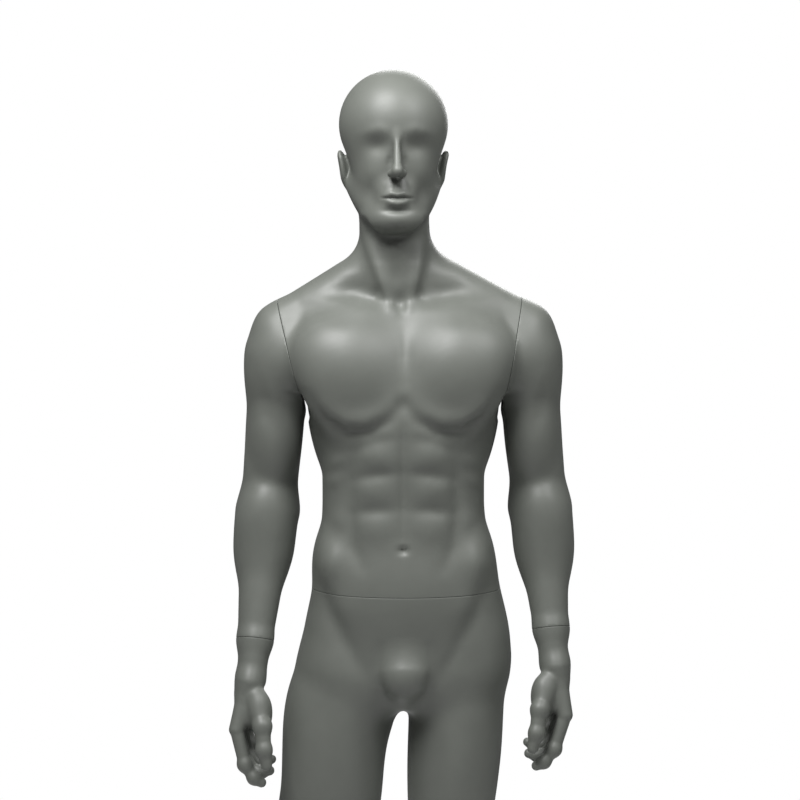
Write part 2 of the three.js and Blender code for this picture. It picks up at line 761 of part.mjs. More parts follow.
function shoulder(side) {
    const frame = shoulderOf(side);
    const group = groupAt(frame);
    const name = side.name;
    const [keyLong, keyWide] = SHOULDER.key;
    const screws = screwsAt(aroundCircle(SHOULDER.screws, 3), -HEAD_UNDER);
    const bore = inFrame(frame, post(SHOULDER.ring + GAP, -60, 0));
    const board = boardIn(torsoSolid, frame, -BOARD_FAR, -BOARD_NEAR, 2 * SHOULDER_REACH).subtract(bore);
    place(figure, `${name}_shoulder_board`, drilled(board, screws, frame), BOARD_LOOK);
    const ring = turned([
        [SHOULDER.bore, -SHOULDER.depth],
        [SHOULDER.ring, -SHOULDER.depth],
        [SHOULDER.ring, -FLANGE_FAR],
        [SHOULDER.flange, -FLANGE_FAR],
        [SHOULDER.flange, -FLANGE_NEAR],
        [SHOULDER.bore, -FLANGE_NEAR],
        [SHOULDER.bore, -SHOULDER.depth],
    ]);
    place(group, `${name}_shoulder_ring`, drilled(ring, screws), STEEL);
    placeScrews(group, `${name}_shoulder_screw`, screws);
    const back = -SHOULDER.depth - GAP;
    const hub = turned([
        [0, back - FLANGE],
        [SHOULDER.ring, back - FLANGE],
        [SHOULDER.ring, back],
        [SHOULDER.hub, back],
        [SHOULDER.hub, -FLANGE_NEAR],
        [0, -FLANGE_NEAR],
    ]);
    const slot = roundedRectangle([keyLong + 2 * GAP, keyWide + 2 * GAP], 1);
    place(group, `${name}_shoulder_hub`, hub.subtract(extruded(slot, -60, 10, 2)), BLACK);

    const keyScrews = screwsAt([[22, 0], [-22, 0]], HEAD_UNDER, -1);
    const armBoard = boardIn((depth) => armSolid(side, depth), frame, BOARD_NEAR, BOARD_FAR);
    place(figure, `${name}_arm_board`, drilled(armBoard, keyScrews, frame), BOARD_LOOK);
    const plate = extruded(roundedRectangle([56, 24], 5), FLANGE_NEAR, FLANGE_FAR, 3);
    const key = extruded(roundedRectangle([keyLong, keyWide], 1), -SHOULDER.depth, FLANGE_NEAR + 1, 2);
    place(group, `${name}_arm_key`, drilled(plate.add(key), keyScrews), STEEL);
    placeScrews(group, `${name}_arm_screw`, keyScrews);
}

// ---------------------------------------------------------------- arms and hands

function armShell(side) {
    const skin = armSolid(side, 0).subtract(armSolid(side, WALL));
    const cut = skin.intersect(slab(shoulderOf(side), GAP, 1200)).intersect(slab(wristOf(side), -1200, -GAP));
    place(figure, `${side.name}_arm_shell`, cut, SKIN);
}

function wrist(side) {
    const frame = wristOf(side);
    const group = groupAt(frame);
    const name = side.name;
    const bore = inFrame(frame, post(WRIST.hub + GAP, -60, 0));
    const board = boardIn((depth) => armSolid(side, depth), frame, -BOARD_FAR, -BOARD_NEAR);
    place(figure, `${name}_wrist_board`, board.subtract(bore), BOARD_LOOK);
    const collar = -BOARD_FAR - GAP;
    const hub = turned([
        [0, collar - FLANGE],
        [WRIST.collar, collar - FLANGE],
        [WRIST.collar, collar],
        [WRIST.hub, collar],
        [WRIST.hub, -FLANGE_FAR],
        [WRIST.flange, -FLANGE_FAR],
        [WRIST.flange, -FLANGE_NEAR],
        [0, -FLANGE_NEAR],
    ]);
    const socket = extruded(polygon(WRIST.key + 2 * GAP, 6), -60, 10);
    place(group, `${name}_wrist_hub`, hub.subtract(socket), BLACK);
    place(group, `${name}_hand_key`, extruded(polygon(WRIST.key, 6), -WRIST.depth, WRIST.seat), STEEL);
    const seat = inFrame(frame, extruded(polygon(WRIST.key + 2 * GAP, 6), -10, WRIST.seat + GAP));
    place(figure, `${name}_hand`, handSolid(side).subtract(seat), SKIN);
}

// ---------------------------------------------------------------- head and trunk

function torsoShell() {
    const skin = torsoSolid(0).add(ear(1)).add(ear(-1)).subtract(torsoSolid(WALL));
    const open = SIDES.reduce((left, side) => {
        const beyond = new THREE.BoxGeometry(600, 600, 600).translate(300 - SHOULDER_REACH, 0, 300 - GAP);
        return left.subtract(toSolid(beyond.applyMatrix4(shoulderOf(side))));
    }, skin);
    place(figure, 'torso_shell', open.intersect(slab(waist, GAP, 1200)), SKIN);
}

// ---------------------------------------------------------------- waist

function waistJoint() {
    const group = groupAt(waist);
    const { size, wall, flange, height, pinX, pin } = SPIGOT;
    const grown = (by) => roundedRectangle([size[0] + 2 * by, size[1] + 2 * by], 4 + Math.max(by, 0));
    const corners = [[1, 1], [1, -1], [-1, 1], [-1, -1]];
    const screwSpots = corners.map(([x, y]) => [x * (flange[0] / 2 - 7), y * (flange[1] / 2 - 8)]);
    const sockets = screwsAt(screwSpots, HEAD_UNDER, -1);
    const holes = [pinX, -pinX].map((x) => post(pin + GAP, -60, 60, 16).translate(x, 0, 0));
    const outer = wall + GAP;

    let upper = boardIn(torsoSolid, waist, BOARD_NEAR, BOARD_FAR);
    upper = upper.subtract(inFrame(waist, extruded(grown(outer + GAP), -20, 40, 3)));
    upper = holes.reduce((left, hole) => left.subtract(inFrame(waist, hole)), upper);
    place(figure, 'torso_board', drilled(upper, sockets, waist), BOARD_LOOK);
    const tube = extruded(grown(outer), FLANGE_NEAR, height + 4, 3);
    const plate = extruded(roundedRectangle(flange, 6), FLANGE_NEAR, FLANGE_FAR, 3);
    const bore = extruded(grown(GAP), -10, height + 20, 3);
    place(group, 'waist_socket', drilled(tube.add(plate).subtract(bore), sockets), STEEL);
    placeScrews(group, 'waist_socket_screw', sockets);

    const spigots = screwsAt(screwSpots, -HEAD_UNDER);
    let lower = boardIn(hipsSolid, waist, -BOARD_FAR, -BOARD_NEAR);
    const pinFoot = -BOARD_NEAR - 3.7;
    const seats = [pinX, -pinX].map((x) => post(pin + GAP, pinFoot - GAP, 0).translate(x, 0, 0));
    lower = seats.reduce((left, seat) => left.subtract(inFrame(waist, seat)), lower);
    place(figure, 'hip_board', drilled(lower, spigots, waist), BOARD_LOOK);
    const spigotTube = extruded(grown(0), -FLANGE_FAR, height, 3);
    const spigotPlate = extruded(roundedRectangle(flange, 6), -FLANGE_FAR, -FLANGE_NEAR, 3);
    const hollow = extruded(grown(-wall), -20, height + 20, 3);
    place(group, 'waist_spigot', drilled(spigotTube.add(spigotPlate).subtract(hollow), spigots), STEEL);
    placeScrews(group, 'waist_spigot_screw', spigots);
    [pinX, -pinX].forEach((x, i) => {
        const outline = [[0, pinFoot], [pin, pinFoot], [pin, 8], [pin - 2, 10], [0, 10]];
        place(group, `waist_pin_${i + 1}`, turned(outline).translate(x, 0, 0), STEEL);
    });
}

// ---------------------------------------------------------------- legs and the calf's fitting

const rodTilt = THREE.MathUtils.degToRad(ROD.tilt);
const rodUp = [0, -Math.sin(rodTilt), Math.cos(rodTilt)];
const rodFrame = frameOf(ROD.top, rodUp, [1, 0, 0]);
const rodLength = (ROD.top[2] - ROD.footZ) / Math.cos(rodTilt);

function legsShell() {
    const skin = hipsSolid(0).subtract(hipsSolid(WALL)).intersect(slab(waist, -1200, -GAP));
    const hole = inFrame(rodFrame, post(SLEEVE.radius + GAP, -SLEEVE.length - 50, SLEEVE.cap + 2 * GAP));
    place(figure, 'legs_shell', skin.subtract(hole), SKIN);
    const { bore, radius, length, cap } = SLEEVE;
    const outline = [[0, GAP], [bore, GAP], [bore, -length], [radius, -length], [radius, cap], [0, cap]];
    const flush = inFrame(rodFrame, turned(outline)).intersect(legSolid(LEFT, 0.5));
    place(figure, 'calf_sleeve', flush, STEEL);
    const level = new THREE.Matrix4().makeTranslation(0, 0, ROD.top[2] - 30);
    const rib = boardIn((depth) => legSolid(LEFT, depth), level, -BOARD / 2, BOARD / 2);
    place(figure, 'calf_rib', rib.subtract(hole), BOARD_LOOK);
}

// ---------------------------------------------------------------- base

function base() {
    const rod = turned([
        [0, -rodLength],
        [ROD.radius, -rodLength],
        [ROD.radius, -1.5],
        [ROD.radius - 1.5, 0],
        [0, 0],
    ]);
    const rodGroup = groupAt(rodFrame);
    place(rodGroup, 'base_rod', rod, STEEL);

    const footAt = vec(ROD.top).addScaledVector(vec(rodUp), -rodLength);
    const boreFrame = frameOf(footAt.toArray(), rodUp, [1, 0, 0]);
    const underside = new THREE.Matrix4().makeTranslation(footAt.x, footAt.y, PLATE_TOP + GAP);
    const knobAxis = [0, Math.cos(rodTilt), Math.sin(rodTilt)];
    const knobAt = footAt.clone().addScaledVector(vec(rodUp), FOOT.screwAt);
    const knobFrame = frameOf(knobAt.toArray(), knobAxis, [1, 0, 0]);
    const screws = screwsAt(aroundCircle(FOOT.screws, 4, Math.PI / 4), FOOT.thick + GAP);
    const disc = inFrame(underside, post(FOOT.radius, 0, FOOT.thick, 24));
    const boss = inFrame(boreFrame, post(FOOT.boss, -30, FOOT.bossHigh));
    const foot = disc
        .add(boss)
        .intersect(slab(underside, 0, 200))
        .subtract(slab(knobFrame, FOOT.flat, 60, 26))
        .subtract(inFrame(boreFrame, post(ROD.radius + GAP, 0, 200)))
        .subtract(inFrame(knobFrame, post(KNOB.shank + GAP, 0, 60, 16)));
    place(figure, 'base_foot', drilled(foot, screws, underside), STEEL);
    const footGroup = groupAt(underside);
    placeScrews(footGroup, 'base_screw', screws);

    const knobGroup = groupAt(knobFrame);
    const washerNear = FOOT.flat + GAP;
    const washerFar = washerNear + KNOB.washerThick;
    const { shank, radius, thick, washer } = KNOB;
    const ring = turned([
        [shank + GAP, washerNear],
        [washer, washerNear],
        [washer, washerFar],
        [shank + GAP, washerFar],
        [shank + GAP, washerNear],
    ]);
    place(knobGroup, 'knob_washer', ring, STEEL);
    const knobNear = washerFar + GAP;
    const flute = post(KNOB.flute, knobNear - GAP, knobNear + thick + GAP, 8);
    const knob = aroundCircle(radius, 6).reduce(
        (whole, [x, y]) => whole.subtract(flute.translate(x, y, 0)),
        post(radius, knobNear, knobNear + thick, 24),
    );
    const stud = post(shank, ROD.radius + 2 * GAP, knobNear + 1, 16);
    place(knobGroup, 'thumbscrew', knob.add(stud), BLACK);

    const sheet = extruded(roundedRectangle([PLATE.side, PLATE.side], PLATE.corner), 0, PLATE.thick);
    const plateFrame = new THREE.Matrix4().makeTranslation(-FIGURE_X, 0, PAD.thick + GAP);
    const plate = drilled(inFrame(plateFrame, sheet), screws, underside);
    place(figure, 'base_plate', plate, STEEL);
    const pad = extruded(roundedRectangle([PAD.side, PAD.side], PAD.corner), 0, PAD.thick);
    place(object, 'base_pad', pad, RUBBER);
}

torsoShell();
for (const side of SIDES) {
    shoulder(side);
    armShell(side);
    wrist(side);
}
waistJoint();
legsShell();
base();

export default object;
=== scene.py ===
"""Full-size standing male display mannequin: skins, fittings and base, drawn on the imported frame."""

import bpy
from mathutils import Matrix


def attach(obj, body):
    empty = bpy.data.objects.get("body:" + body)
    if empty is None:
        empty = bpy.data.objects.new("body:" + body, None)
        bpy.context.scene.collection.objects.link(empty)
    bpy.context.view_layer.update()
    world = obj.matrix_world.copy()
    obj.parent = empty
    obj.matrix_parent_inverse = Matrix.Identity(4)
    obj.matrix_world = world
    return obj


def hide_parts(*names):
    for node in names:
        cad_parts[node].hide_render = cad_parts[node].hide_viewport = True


bl_info = {
    "name": "Display mannequin",
    "version": (1, 0, 0),
    "blender": (4, 5, 0),
    "location": "View3D > Sidebar > Mannequin",
    "description": "Models and paints a full-size display mannequin on its steel base",
    "category": "Object",
}

import math

import bmesh
import bpy
import numpy as np
from bpy.props import FloatProperty, FloatVectorProperty, PointerProperty
from mathutils import Matrix, Vector

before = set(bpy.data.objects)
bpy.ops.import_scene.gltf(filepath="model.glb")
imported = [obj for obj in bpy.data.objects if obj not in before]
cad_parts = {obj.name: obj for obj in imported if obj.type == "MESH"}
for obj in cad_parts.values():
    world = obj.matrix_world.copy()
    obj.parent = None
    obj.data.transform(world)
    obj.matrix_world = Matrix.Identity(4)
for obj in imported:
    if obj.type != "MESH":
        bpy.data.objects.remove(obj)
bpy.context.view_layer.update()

MM = 0.001

# Lengths of the figure, in mm, and angles in degrees.
FIGURE_X = 60.0  # the figure's centre line from the middle of the base
WAIST_Z = 1085.0
ARMPIT_Z = 1380.0
SHOULDER_TOP_Z = 1500
SOLE_Z = 10.6
HEAD_X = -15.0
HEAD_TURN = 3.3
SEAM_LOW = (1345.0, 1374.0)  # where the trunk and the arm draw apart under the seam
GAP = 0.3  # from each skin to the middle of its seam
ROLL = ((0.35, 0.15), (0.15, 0.35))  # how far each step of a rim runs out and in
RIM_RUN = 0.5  # how far a rolled rim runs out in all
RIM_SPACING = 0.6  # the least distance between the points of a rim
WALL_DEPTH = 7.5
LINING_STEP = 12
LEG_COARSENESS = 1.12  # the legs' faces against the body's

# Joining the forms, in mm.
FAR = 60.0  # the distance that stands for anywhere far outside
SPREAD = 14  # how far past its own box a form still counts
CUT_SPREAD = 4
LIMB_BLEND = 20
LEG_BLEND = 22
SEAM_BLEND = 4

# The stage, in metres and degrees.
FLOOR_RADIUS = 2.3
FLOOR_DROP = 0.0005
ROOM_LIGHT = 0.15
SOFT_BOXES = (  # name, place, size, and share of the main power
    ("main_soft_box", (-0.55, -1.15, 3.2), 1.1, 1.0),
    ("right_soft_box", (1.3, -1.2, 3.1), 1.0, 0.4),
    ("back_soft_box", (0.5, 2.4, 2.6), 1.4, 0.5),
)
CHEST = (0.06, 0, 1.4)  # what the soft boxes point at
CAMERA_AT = (0.055, -3.0, 1.59)
CAMERA_PITCH = 90 - 4.13
CAMERA_LENS = 88.4  # mm

LEFT = {
    "name": "left",
    "s": 1,
    "shoulder": (167, 4, 1457),
    "droop": 10.7,
    "elbow": (212, 30, 1200),
    "hand": (231, -34, 971),
    "tilt": 4.5,
    "cut": 1024,
    "hip": (84, 2, 930),
    "thigh": 0.9,
    "knee": (58, -4, 495),
    "ankle": (30, 40, 95),
    "toe_out": 7,
    "lean": 5,
}
RIGHT = {
    "name": "right",
    "s": -1,
    "shoulder": (-174, 4, 1457),
    "droop": 14.6,
    "elbow": (-210, 30, 1195),
    "hand": (-232, -45, 950),
    "tilt": 0,
    "cut": 1008,
    "hip": (-80, 2, 930),
    "thigh": 1.0,
    "knee": (-178, -12, 500),
    "ankle": (-196, 40, 95),
    "toe_out": 18,
    "lean": 11,
}
SIDES = (LEFT, RIGHT)


# ------------------------------------------------------------------ forms of the body, in mm


def smooth_min(a, b, blend):
    h = np.maximum(blend - np.abs(a - b), 0.0) / blend
    return np.minimum(a, b) - h * h * blend * 0.25


def turned_by(degrees):
    x, y, z = (Matrix.Rotation(math.radians(d), 3, axis) for d, axis in zip(degrees, "XYZ"))
    return np.array(z @ y @ x)


class Ball:
    """An ellipsoid."""

    def __init__(self, at, radii, blend, turn=(0, 0, 0), cut=False):
        self.at = np.array(at, float)
        self.radii = np.array(radii, float)
        self.turn = turned_by(turn)
        self.blend = blend
        self.cut = cut
        reach = np.sqrt(((self.turn * self.radii) ** 2).sum(1))
        self.low = self.at - reach
        self.high = self.at + reach

    def distance(self, x, y, z):
        m = self.turn
        x, y, z = x - self.at[0], y - self.at[1], z - self.at[2]
        u, v, w = ((m[0, i] * x + m[1, i] * y + m[2, i] * z) / self.radii[i] for i in range(3))
        scaled = np.sqrt(u * u + v * v + w * w)
        u, v, w = u / self.radii[0], v / self.radii[1], w / self.radii[2]
        return scaled * (scaled - 1.0) / (np.sqrt(u * u + v * v + w * w) + 1e-6)


class Bar:
    """A round cone from a to b, widened or narrowed along one direction."""

    def __init__(self, a, b, radius_a, radius_b, blend, across=None, widen=1.0, cut=False):
        self.a = np.array(a, float)
        self.run = np.array(b, float) - self.a
        self.radii = (radius_a, radius_b)
        self.blend = blend
        self.across = None if across is None else np.array(across, float) / np.linalg.norm(across)
        self.widen = widen
        self.cut = cut
        reach = max(radius_a, radius_b) * max(1.0, widen)
        self.low = np.minimum(self.a, self.a + self.run) - reach
        self.high = np.maximum(self.a, self.a + self.run) + reach

    def distance(self, x, y, z):
        run = self.run
        x, y, z = x - self.a[0], y - self.a[1], z - self.a[2]
        t = np.clip((x * run[0] + y * run[1] + z * run[2]) / (run @ run), 0, 1)
        x, y, z = x - t * run[0], y - t * run[1], z - t * run[2]
        if self.across is not None:
            n = self.across
            along = (1.0 / self.widen - 1.0) * (x * n[0] + y * n[1] + z * n[2])
            x, y, z = x + along * n[0], y + along * n[1], z + along * n[2]
        gap = np.sqrt(x * x + y * y + z * z) - (self.radii[0] + (self.radii[1] - self.radii[0]) * t)
        return gap * self.widen**0.5 if self.widen < 1 else gap


def curve_through(z, stations, column):
    """Smooth curve through one column of the stations, at the heights z."""
    zs = np.array([row[0] for row in stations], float)
    values = np.array([row[column] for row in stations], float)
    slope = np.diff(values) / np.diff(zs)
    tangent = np.concatenate([slope[:1], (slope[1:] + slope[:-1]) / 2, slope[-1:]])
    tangent[1:-1][slope[1:] * slope[:-1] <= 0] = 0
    i = np.clip(np.searchsorted(zs, z.ravel()) - 1, 0, len(zs) - 2).reshape(z.shape)
    h = zs[i + 1] - zs[i]
    t = np.clip((z - zs[i]) / h, 0, 1)
    return (
        (2 * t**3 - 3 * t**2 + 1) * values[i]
        + (t**3 - 2 * t**2 + t) * h * tangent[i]
        + (3 * t**2 - 2 * t**3) * values[i + 1]
        + (t**3 - t**2) * h * tangent[i + 1]
    )


class Trunk:
    """Rounded level sections up the trunk: height, middle, half width, depth in front and behind."""

    STATIONS = (
        (900, 0, 110, 64, 84),
        (940, 2, 142, 84, 102),
        (985, 4, 156, 92, 104),
        (1052, 5, 150, 95, 96),
        (1100, 4, 142, 97, 88),
        (1150, 2, 131, 97, 83),
        (1223, 0, 124, 96, 84),
        (1297, 0, 127, 103, 96),
        (1345, 0, 139, 106, 108),
        (1400, 0, 146, 102, 116),
        (1450, 0, 156, 90, 116),
        (1495, 0, 160, 66, 104),
        (1530, -2, 120, 38, 88),
        (1560, -5, 80, 25, 74),
    )
    POWER = 2.25
    blend = 10
    cut = False
    low = np.array([-165.0, -108.0, 900.0])
    high = np.array([165.0, 118.0, 1560.0])

    def distance(self, x, y, z):
        x, y, z = np.broadcast_arrays(x, y, z)
        middle, half, front, behind = (curve_through(z, self.STATIONS, i) for i in (1, 2, 3, 4))
        deep = np.where(y < 0, front, behind)
        u, v = np.abs(x - middle) / half, np.abs(y) / deep
        p = self.POWER
        rho = (u**p + v**p) ** (1 / p) + 1e-6
        slope = np.sqrt((u ** (p - 1) / half) ** 2 + (v ** (p - 1) / deep) ** 2) / rho ** (p - 1)
        side = (rho - 1.0) / (slope + 1e-9)
        ends = np.maximum(self.STATIONS[0][0] - z, z - self.STATIONS[-1][0])
        return -smooth_min(-side, -ends, 30.0)


class Group:
    """Forms joined first, that then blend with the rest as one. fade(z) pushes them away."""

    def __init__(self, forms, blend, fade=None):
        self.forms = forms
        self.blend = blend
        self.fade = fade
        self.cut = False
        self.low = np.min([form.low for form in forms if not form.cut], 0)
        self.high = np.max([form.high for form in forms if not form.cut], 0)


class Wall:
    """Everything beyond a plane, along its axis, between two heights where they are given."""

    def __init__(self, at, axis, blend, heights=None):
        self.at = np.array(at, float)
        self.axis = np.array(axis, float)
        self.blend = blend
        self.cut = True
        self.heights = heights
        self.low = np.full(3, -1e4)
        self.high = np.full(3, 1e4)

    def distance(self, x, y, z):
        over = -sum((p - c) * n for p, c, n in zip((x, y, z), self.at, self.axis))
        if self.heights is not None:
            low, high = self.heights
            over = over + 4.0 * np.maximum(0.0, z - high) + np.maximum(0.0, low - z)
        return over


def merge_in(value, form, d):
    if form.cut:
        return -smooth_min(-value, d, form.blend)
    return smooth_min(value, d, form.blend)


def distance_at(forms, points):
    """Distance outside the forms' common skin at each point: below zero inside it."""
    value = np.full(len(points), FAR)
    for form in forms:
        pad = form.blend + SPREAD
        near = np.all((points > form.low - pad) & (points < form.high + pad), axis=1)
        if not near.any():
            continue
        p = points[near]
        if isinstance(form, Group):
            d = distance_at(form.forms, p)
            if form.fade:
                d = d + form.fade(p[:, 2])
        else:
            d = form.distance(p[:, 0], p[:, 1], p[:, 2])
        value[near] = merge_in(value[near], form, d)
    return value


def distance_grid(forms, axes):
    """The same on a grid of points, given by its three axes."""
    value = np.full([len(axis) for axis in axes], FAR, np.float32)
    step = axes[0][1] - axes[0][0]
    for form in forms:
        pad = form.blend + 3 * step + (CUT_SPREAD if form.cut else SPREAD)
        spans = [
            slice(*np.searchsorted(axis, (low - pad, high + pad)))
            for axis, low, high in zip(axes, form.low, form.high)
        ]
        x, y, z = (axis[span].astype(np.float32) for axis, span in zip(axes, spans))
        if 0 in (len(x), len(y), len(z)):
            continue
        if isinstance(form, Group):
            if min(len(x), len(y), len(z)) < 2:
                continue
            d = distance_grid(form.forms, (x, y, z))
            if form.fade:
                d = d + form.fade(z)[None, None, :].astype(np.float32)
        else:
            d = form.distance(x[:, None, None], y[None, :, None], z[None, None, :])
        part = value[tuple(spans)]
        value[tuple(spans)] = merge_in(part, form, np.broadcast_to(d, part.shape))
    return value


def net(forms, low, high, step, depth=0.0):
    """Points and four-sided faces around the surface that lies depth inside the forms' skin."""
    axes = [np.arange(a, b + step, step) for a, b in zip(low, high)]
    value = distance_grid(forms, axes) + depth
    inside = value < 0
    shape = tuple(n - 1 for n in value.shape)
    corners = [(i, j, k) for i in (0, 1) for j in (0, 1) for k in (0, 1)]
    count = np.zeros(shape, np.uint8)
    for i, j, k in corners:
        count += inside[i : shape[0] + i, j : shape[1] + j, k : shape[2] + k]
    cells = np.argwhere((count > 0) & (count < 8))
    index = np.full(shape, -1, np.int32)
    index[tuple(cells.T)] = np.arange(len(cells))
    total = np.zeros((len(cells), 3))
    hits = np.zeros(len(cells))
    for a in corners:
        for b in corners:
            if sum(b) != sum(a) + 1 or any(q < p for p, q in zip(a, b)):
                continue
            va, vb = value[tuple((cells + a).T)], value[tuple((cells + b).T)]
            cross = (va < 0) != (vb < 0)
            t = np.where(cross, va / np.where(cross, va - vb, 1), 0)
            place = np.array(a) + t[:, None] * (np.array(b) - np.array(a))
            total += np.where(cross[:, None], place, 0)
            hits += cross
    points = np.array([axis[0] for axis in axes]) + (cells + total / hits[:, None]) * step
    quads = []
    for axis in range(3):
        here, there = [slice(None)] * 3, [slice(None)] * 3
        here[axis], there[axis] = slice(0, -1), slice(1, None)
        first, second = (other for other in range(3) if other != axis)
        a, b = inside[tuple(here)], inside[tuple(there)]
        at = np.argwhere(a != b)
        ok = (at[:, first] > 0) & (at[:, second] > 0)
        ok &= (at[:, first] < value.shape[first] - 1) & (at[:, second] < value.shape[second] - 1)
        at = at[ok]
        outward = a[tuple(at.T)]
        e, f = np.zeros(3, int), np.zeros(3, int)
        e[first], f[second] = 1, 1
        quad = np.stack([index[tuple(cell.T)] for cell in (at - e - f, at - f, at, at - e)], 1)
        flip = outward if axis != 1 else ~outward
        quad[~flip] = quad[~flip][:, ::-1]
        quads.append(quad)
    return snapped(forms, points, depth), np.concatenate(quads)


def slope_at(forms, points, reach=0.4):
    sides = [distance_at(forms, points + o) - distance_at(forms, points - o) for o in np.eye(3) * reach]
    return np.stack(sides, 1) / (2 * reach)


def snapped(forms, points, depth=0.0, rounds=2):
    """The points, moved onto the true surface."""
    for _ in range(rounds):
        slope = slope_at(forms, points)
        length = np.maximum((slope * slope).sum(1), 0.15)
        move = np.clip((distance_at(forms, points) + depth) / length, -3, 3)
        points = points - move[:, None] * slope
    return points


# ------------------------------------------------------------------ relief


class Stroke:
    """A ridge or groove along a path over the skin, seen from the front (or from behind).

    points are (across, up) pairs, wide is the half width, and high is the height in the middle.
    """

    def __init__(self, points, wide, high, behind=False, tip=0.35):
        self.points = np.array(points, float)
        self.wide = wide
        self.high = high
        self.behind = behind
        self.tip = tip

    def height(self, points, normals):
        facing = normals[:, 1] if self.behind else -normals[:, 1]
        out = np.zeros(len(points))
        pad = 3 * self.wide
        x, z = points[:, 0], points[:, 2]
        low, high = self.points.min(0) - pad, self.points.max(0) + pad
        near = (x > low[0]) & (x < high[0]) & (z > low[1]) & (z < high[1]) & (facing > 0)
        if not near.any():
            return out
        px, pz = x[near], z[near]
        best = np.full(len(px), 1e9)
        along = np.zeros(len(px))
        lengths = np.hypot(*np.diff(self.points, axis=0).T)
        total = lengths.sum()
        gone = 0.0
        for (ax, az), (bx, bz), length in zip(self.points[:-1], self.points[1:], lengths):
            t = np.clip(((px - ax) * (bx - ax) + (pz - az) * (bz - az)) / (length**2 + 1e-9), 0, 1)
            d = np.hypot(px - ax - t * (bx - ax), pz - az - t * (bz - az))
            better = d < best
            best = np.where(better, d, best)
            along = np.where(better, (gone + t * length) / (total + 1e-9), along)
            gone += length
        ends = np.minimum(along, 1 - along) * 2
        taper = self.tip + (1 - self.tip) * np.clip(ends * 1.6, 0, 1)
        bump = np.exp(-((best / self.wide) ** 2))
        out[near] = self.high * taper * bump * np.clip(facing[near] * 2.5, 0, 1)
        return out


class Dent:
    """A soft rise (or hollow, below zero) inside an ellipse, seen from the front (or from behind)."""

    def __init__(self, at, wide, tall, high, turn=0, behind=False):
        self.at = at
        self.size = (wide, tall)
        self.high = high
        self.turn = math.radians(turn)
        self.behind = behind

    def height(self, points, normals):
        facing = normals[:, 1] if self.behind else -normals[:, 1]
        x, z = points[:, 0] - self.at[0], points[:, 2] - self.at[1]
        c, s = math.cos(self.turn), math.sin(self.turn)
        u, v = (c * x + s * z) / self.size[0], (c * z - s * x) / self.size[1]
        return self.high * np.exp(-(u * u + v * v)) * np.clip(facing * 2.5, 0, 1)


def both(make):
    return [item for s in (1, -1) for item in make(s)]


# ------------------------------------------------------------------ the body's forms


def on_head(x, y, z):
    turn = math.radians(HEAD_TURN)
    c, s = math.cos(turn), math.sin(turn)
    return (HEAD_X + x * c - y * s, x * s + y * c, z)


def trunk_forms():
    def side(s):
        return [
            # shoulder line
            Bar((s * 38 - 10, 18, 1574), (s * 192, 8, 1487), 34, 32, 30, (0, 1, 0), 1.25),
            Ball((s * 99, 34, 1376), (43, 64, 108), 28, (0, s * -6, 0)),  # side of the back
            Ball((s * 78, 78, 1432), (52, 40, 78), 26, (-8, s * 10, 0)),  # shoulder blade
            Ball((s * 72, -58, 1405), (82, 52, 77), 34, (0, s * -14, s * -16)),  # breast muscle
            Bar((s * 70, -60, 1425), (s * 165, -20, 1430), 44, 30, 36),
            Ball((s * 82, -42, 1456), (78, 46, 50), 46, (0, s * 6, s * -16)),  # top of the breast
            Ball((s * 102, -6, 1130), (33, 74, 48), 24),  # flank
            Ball((s * 68, 66, 975), (76, 68, 82), 22, (0, 0, s * 8)),  # buttock
            Ball((s * 108 + 6, 10, 985), (45, 70, 85), 26),  # hip
        ]

    return [
        Trunk(),
        *both(side),
        Ball((0, -58, 1085), (96, 46, 90), 22),  # belly
        Bar((2, -50, 1028), (2, -75, 965), 22, 38, 22),
        Bar((-10, 16, 1520), (-15, 14, 1680), 57, 52, 26),  # neck
        Bar((-12, -8, 1560), (-15, -12, 1665), 42, 40, 16),
    ]


def head_forms():
    turn = (0, 0, HEAD_TURN)

    def side(s):
        return [
            Bar(on_head(s * 55, 4, 1700), on_head(s * 21, -64, 1651), 16, 18, 22),  # jaw
            Ball(on_head(s * 8.5, -98, 1714), (6, 9, 6), 7, turn),  # nostril
        ]

    def ear(s):
        return Group(
            [
                Ball(on_head(s * 74, 12, 1723), (8, 17, 32), 2, (12, s * 12, HEAD_TURN + s * 12)),
                Ball(on_head(s * 66, 14, 1722), (12, 11, 25), 6, (12, 0, HEAD_TURN)),
                Ball(on_head(s * 86, 5, 1728), (7, 9, 17), 5, (12, s * 12, HEAD_TURN + s * 8), cut=True),
            ],
            4,
        )

    return [
        Ball(on_head(0, 12, 1794), (81, 96, 80), 10, turn),  # skull
        Ball(on_head(0, -22, 1786), (70, 66, 70), 30, turn),  # forehead
        Ball(on_head(0, -20, 1722), (62, 66, 92), 24, turn),  # face
        Ball(on_head(0, -70, 1648), (26, 22, 19), 16, turn),  # chin
        Ball(on_head(0, -74, 1684), (30, 20, 25), 14, turn),  # mouth
        Bar(on_head(0, -85, 1778), on_head(0, -110, 1720), 4, 7, 8),  # nose
        Ball(on_head(0, -108, 1716), (8, 10, 7.5), 7, turn),
        *both(side),
        ear(1),
        ear(-1),
    ]


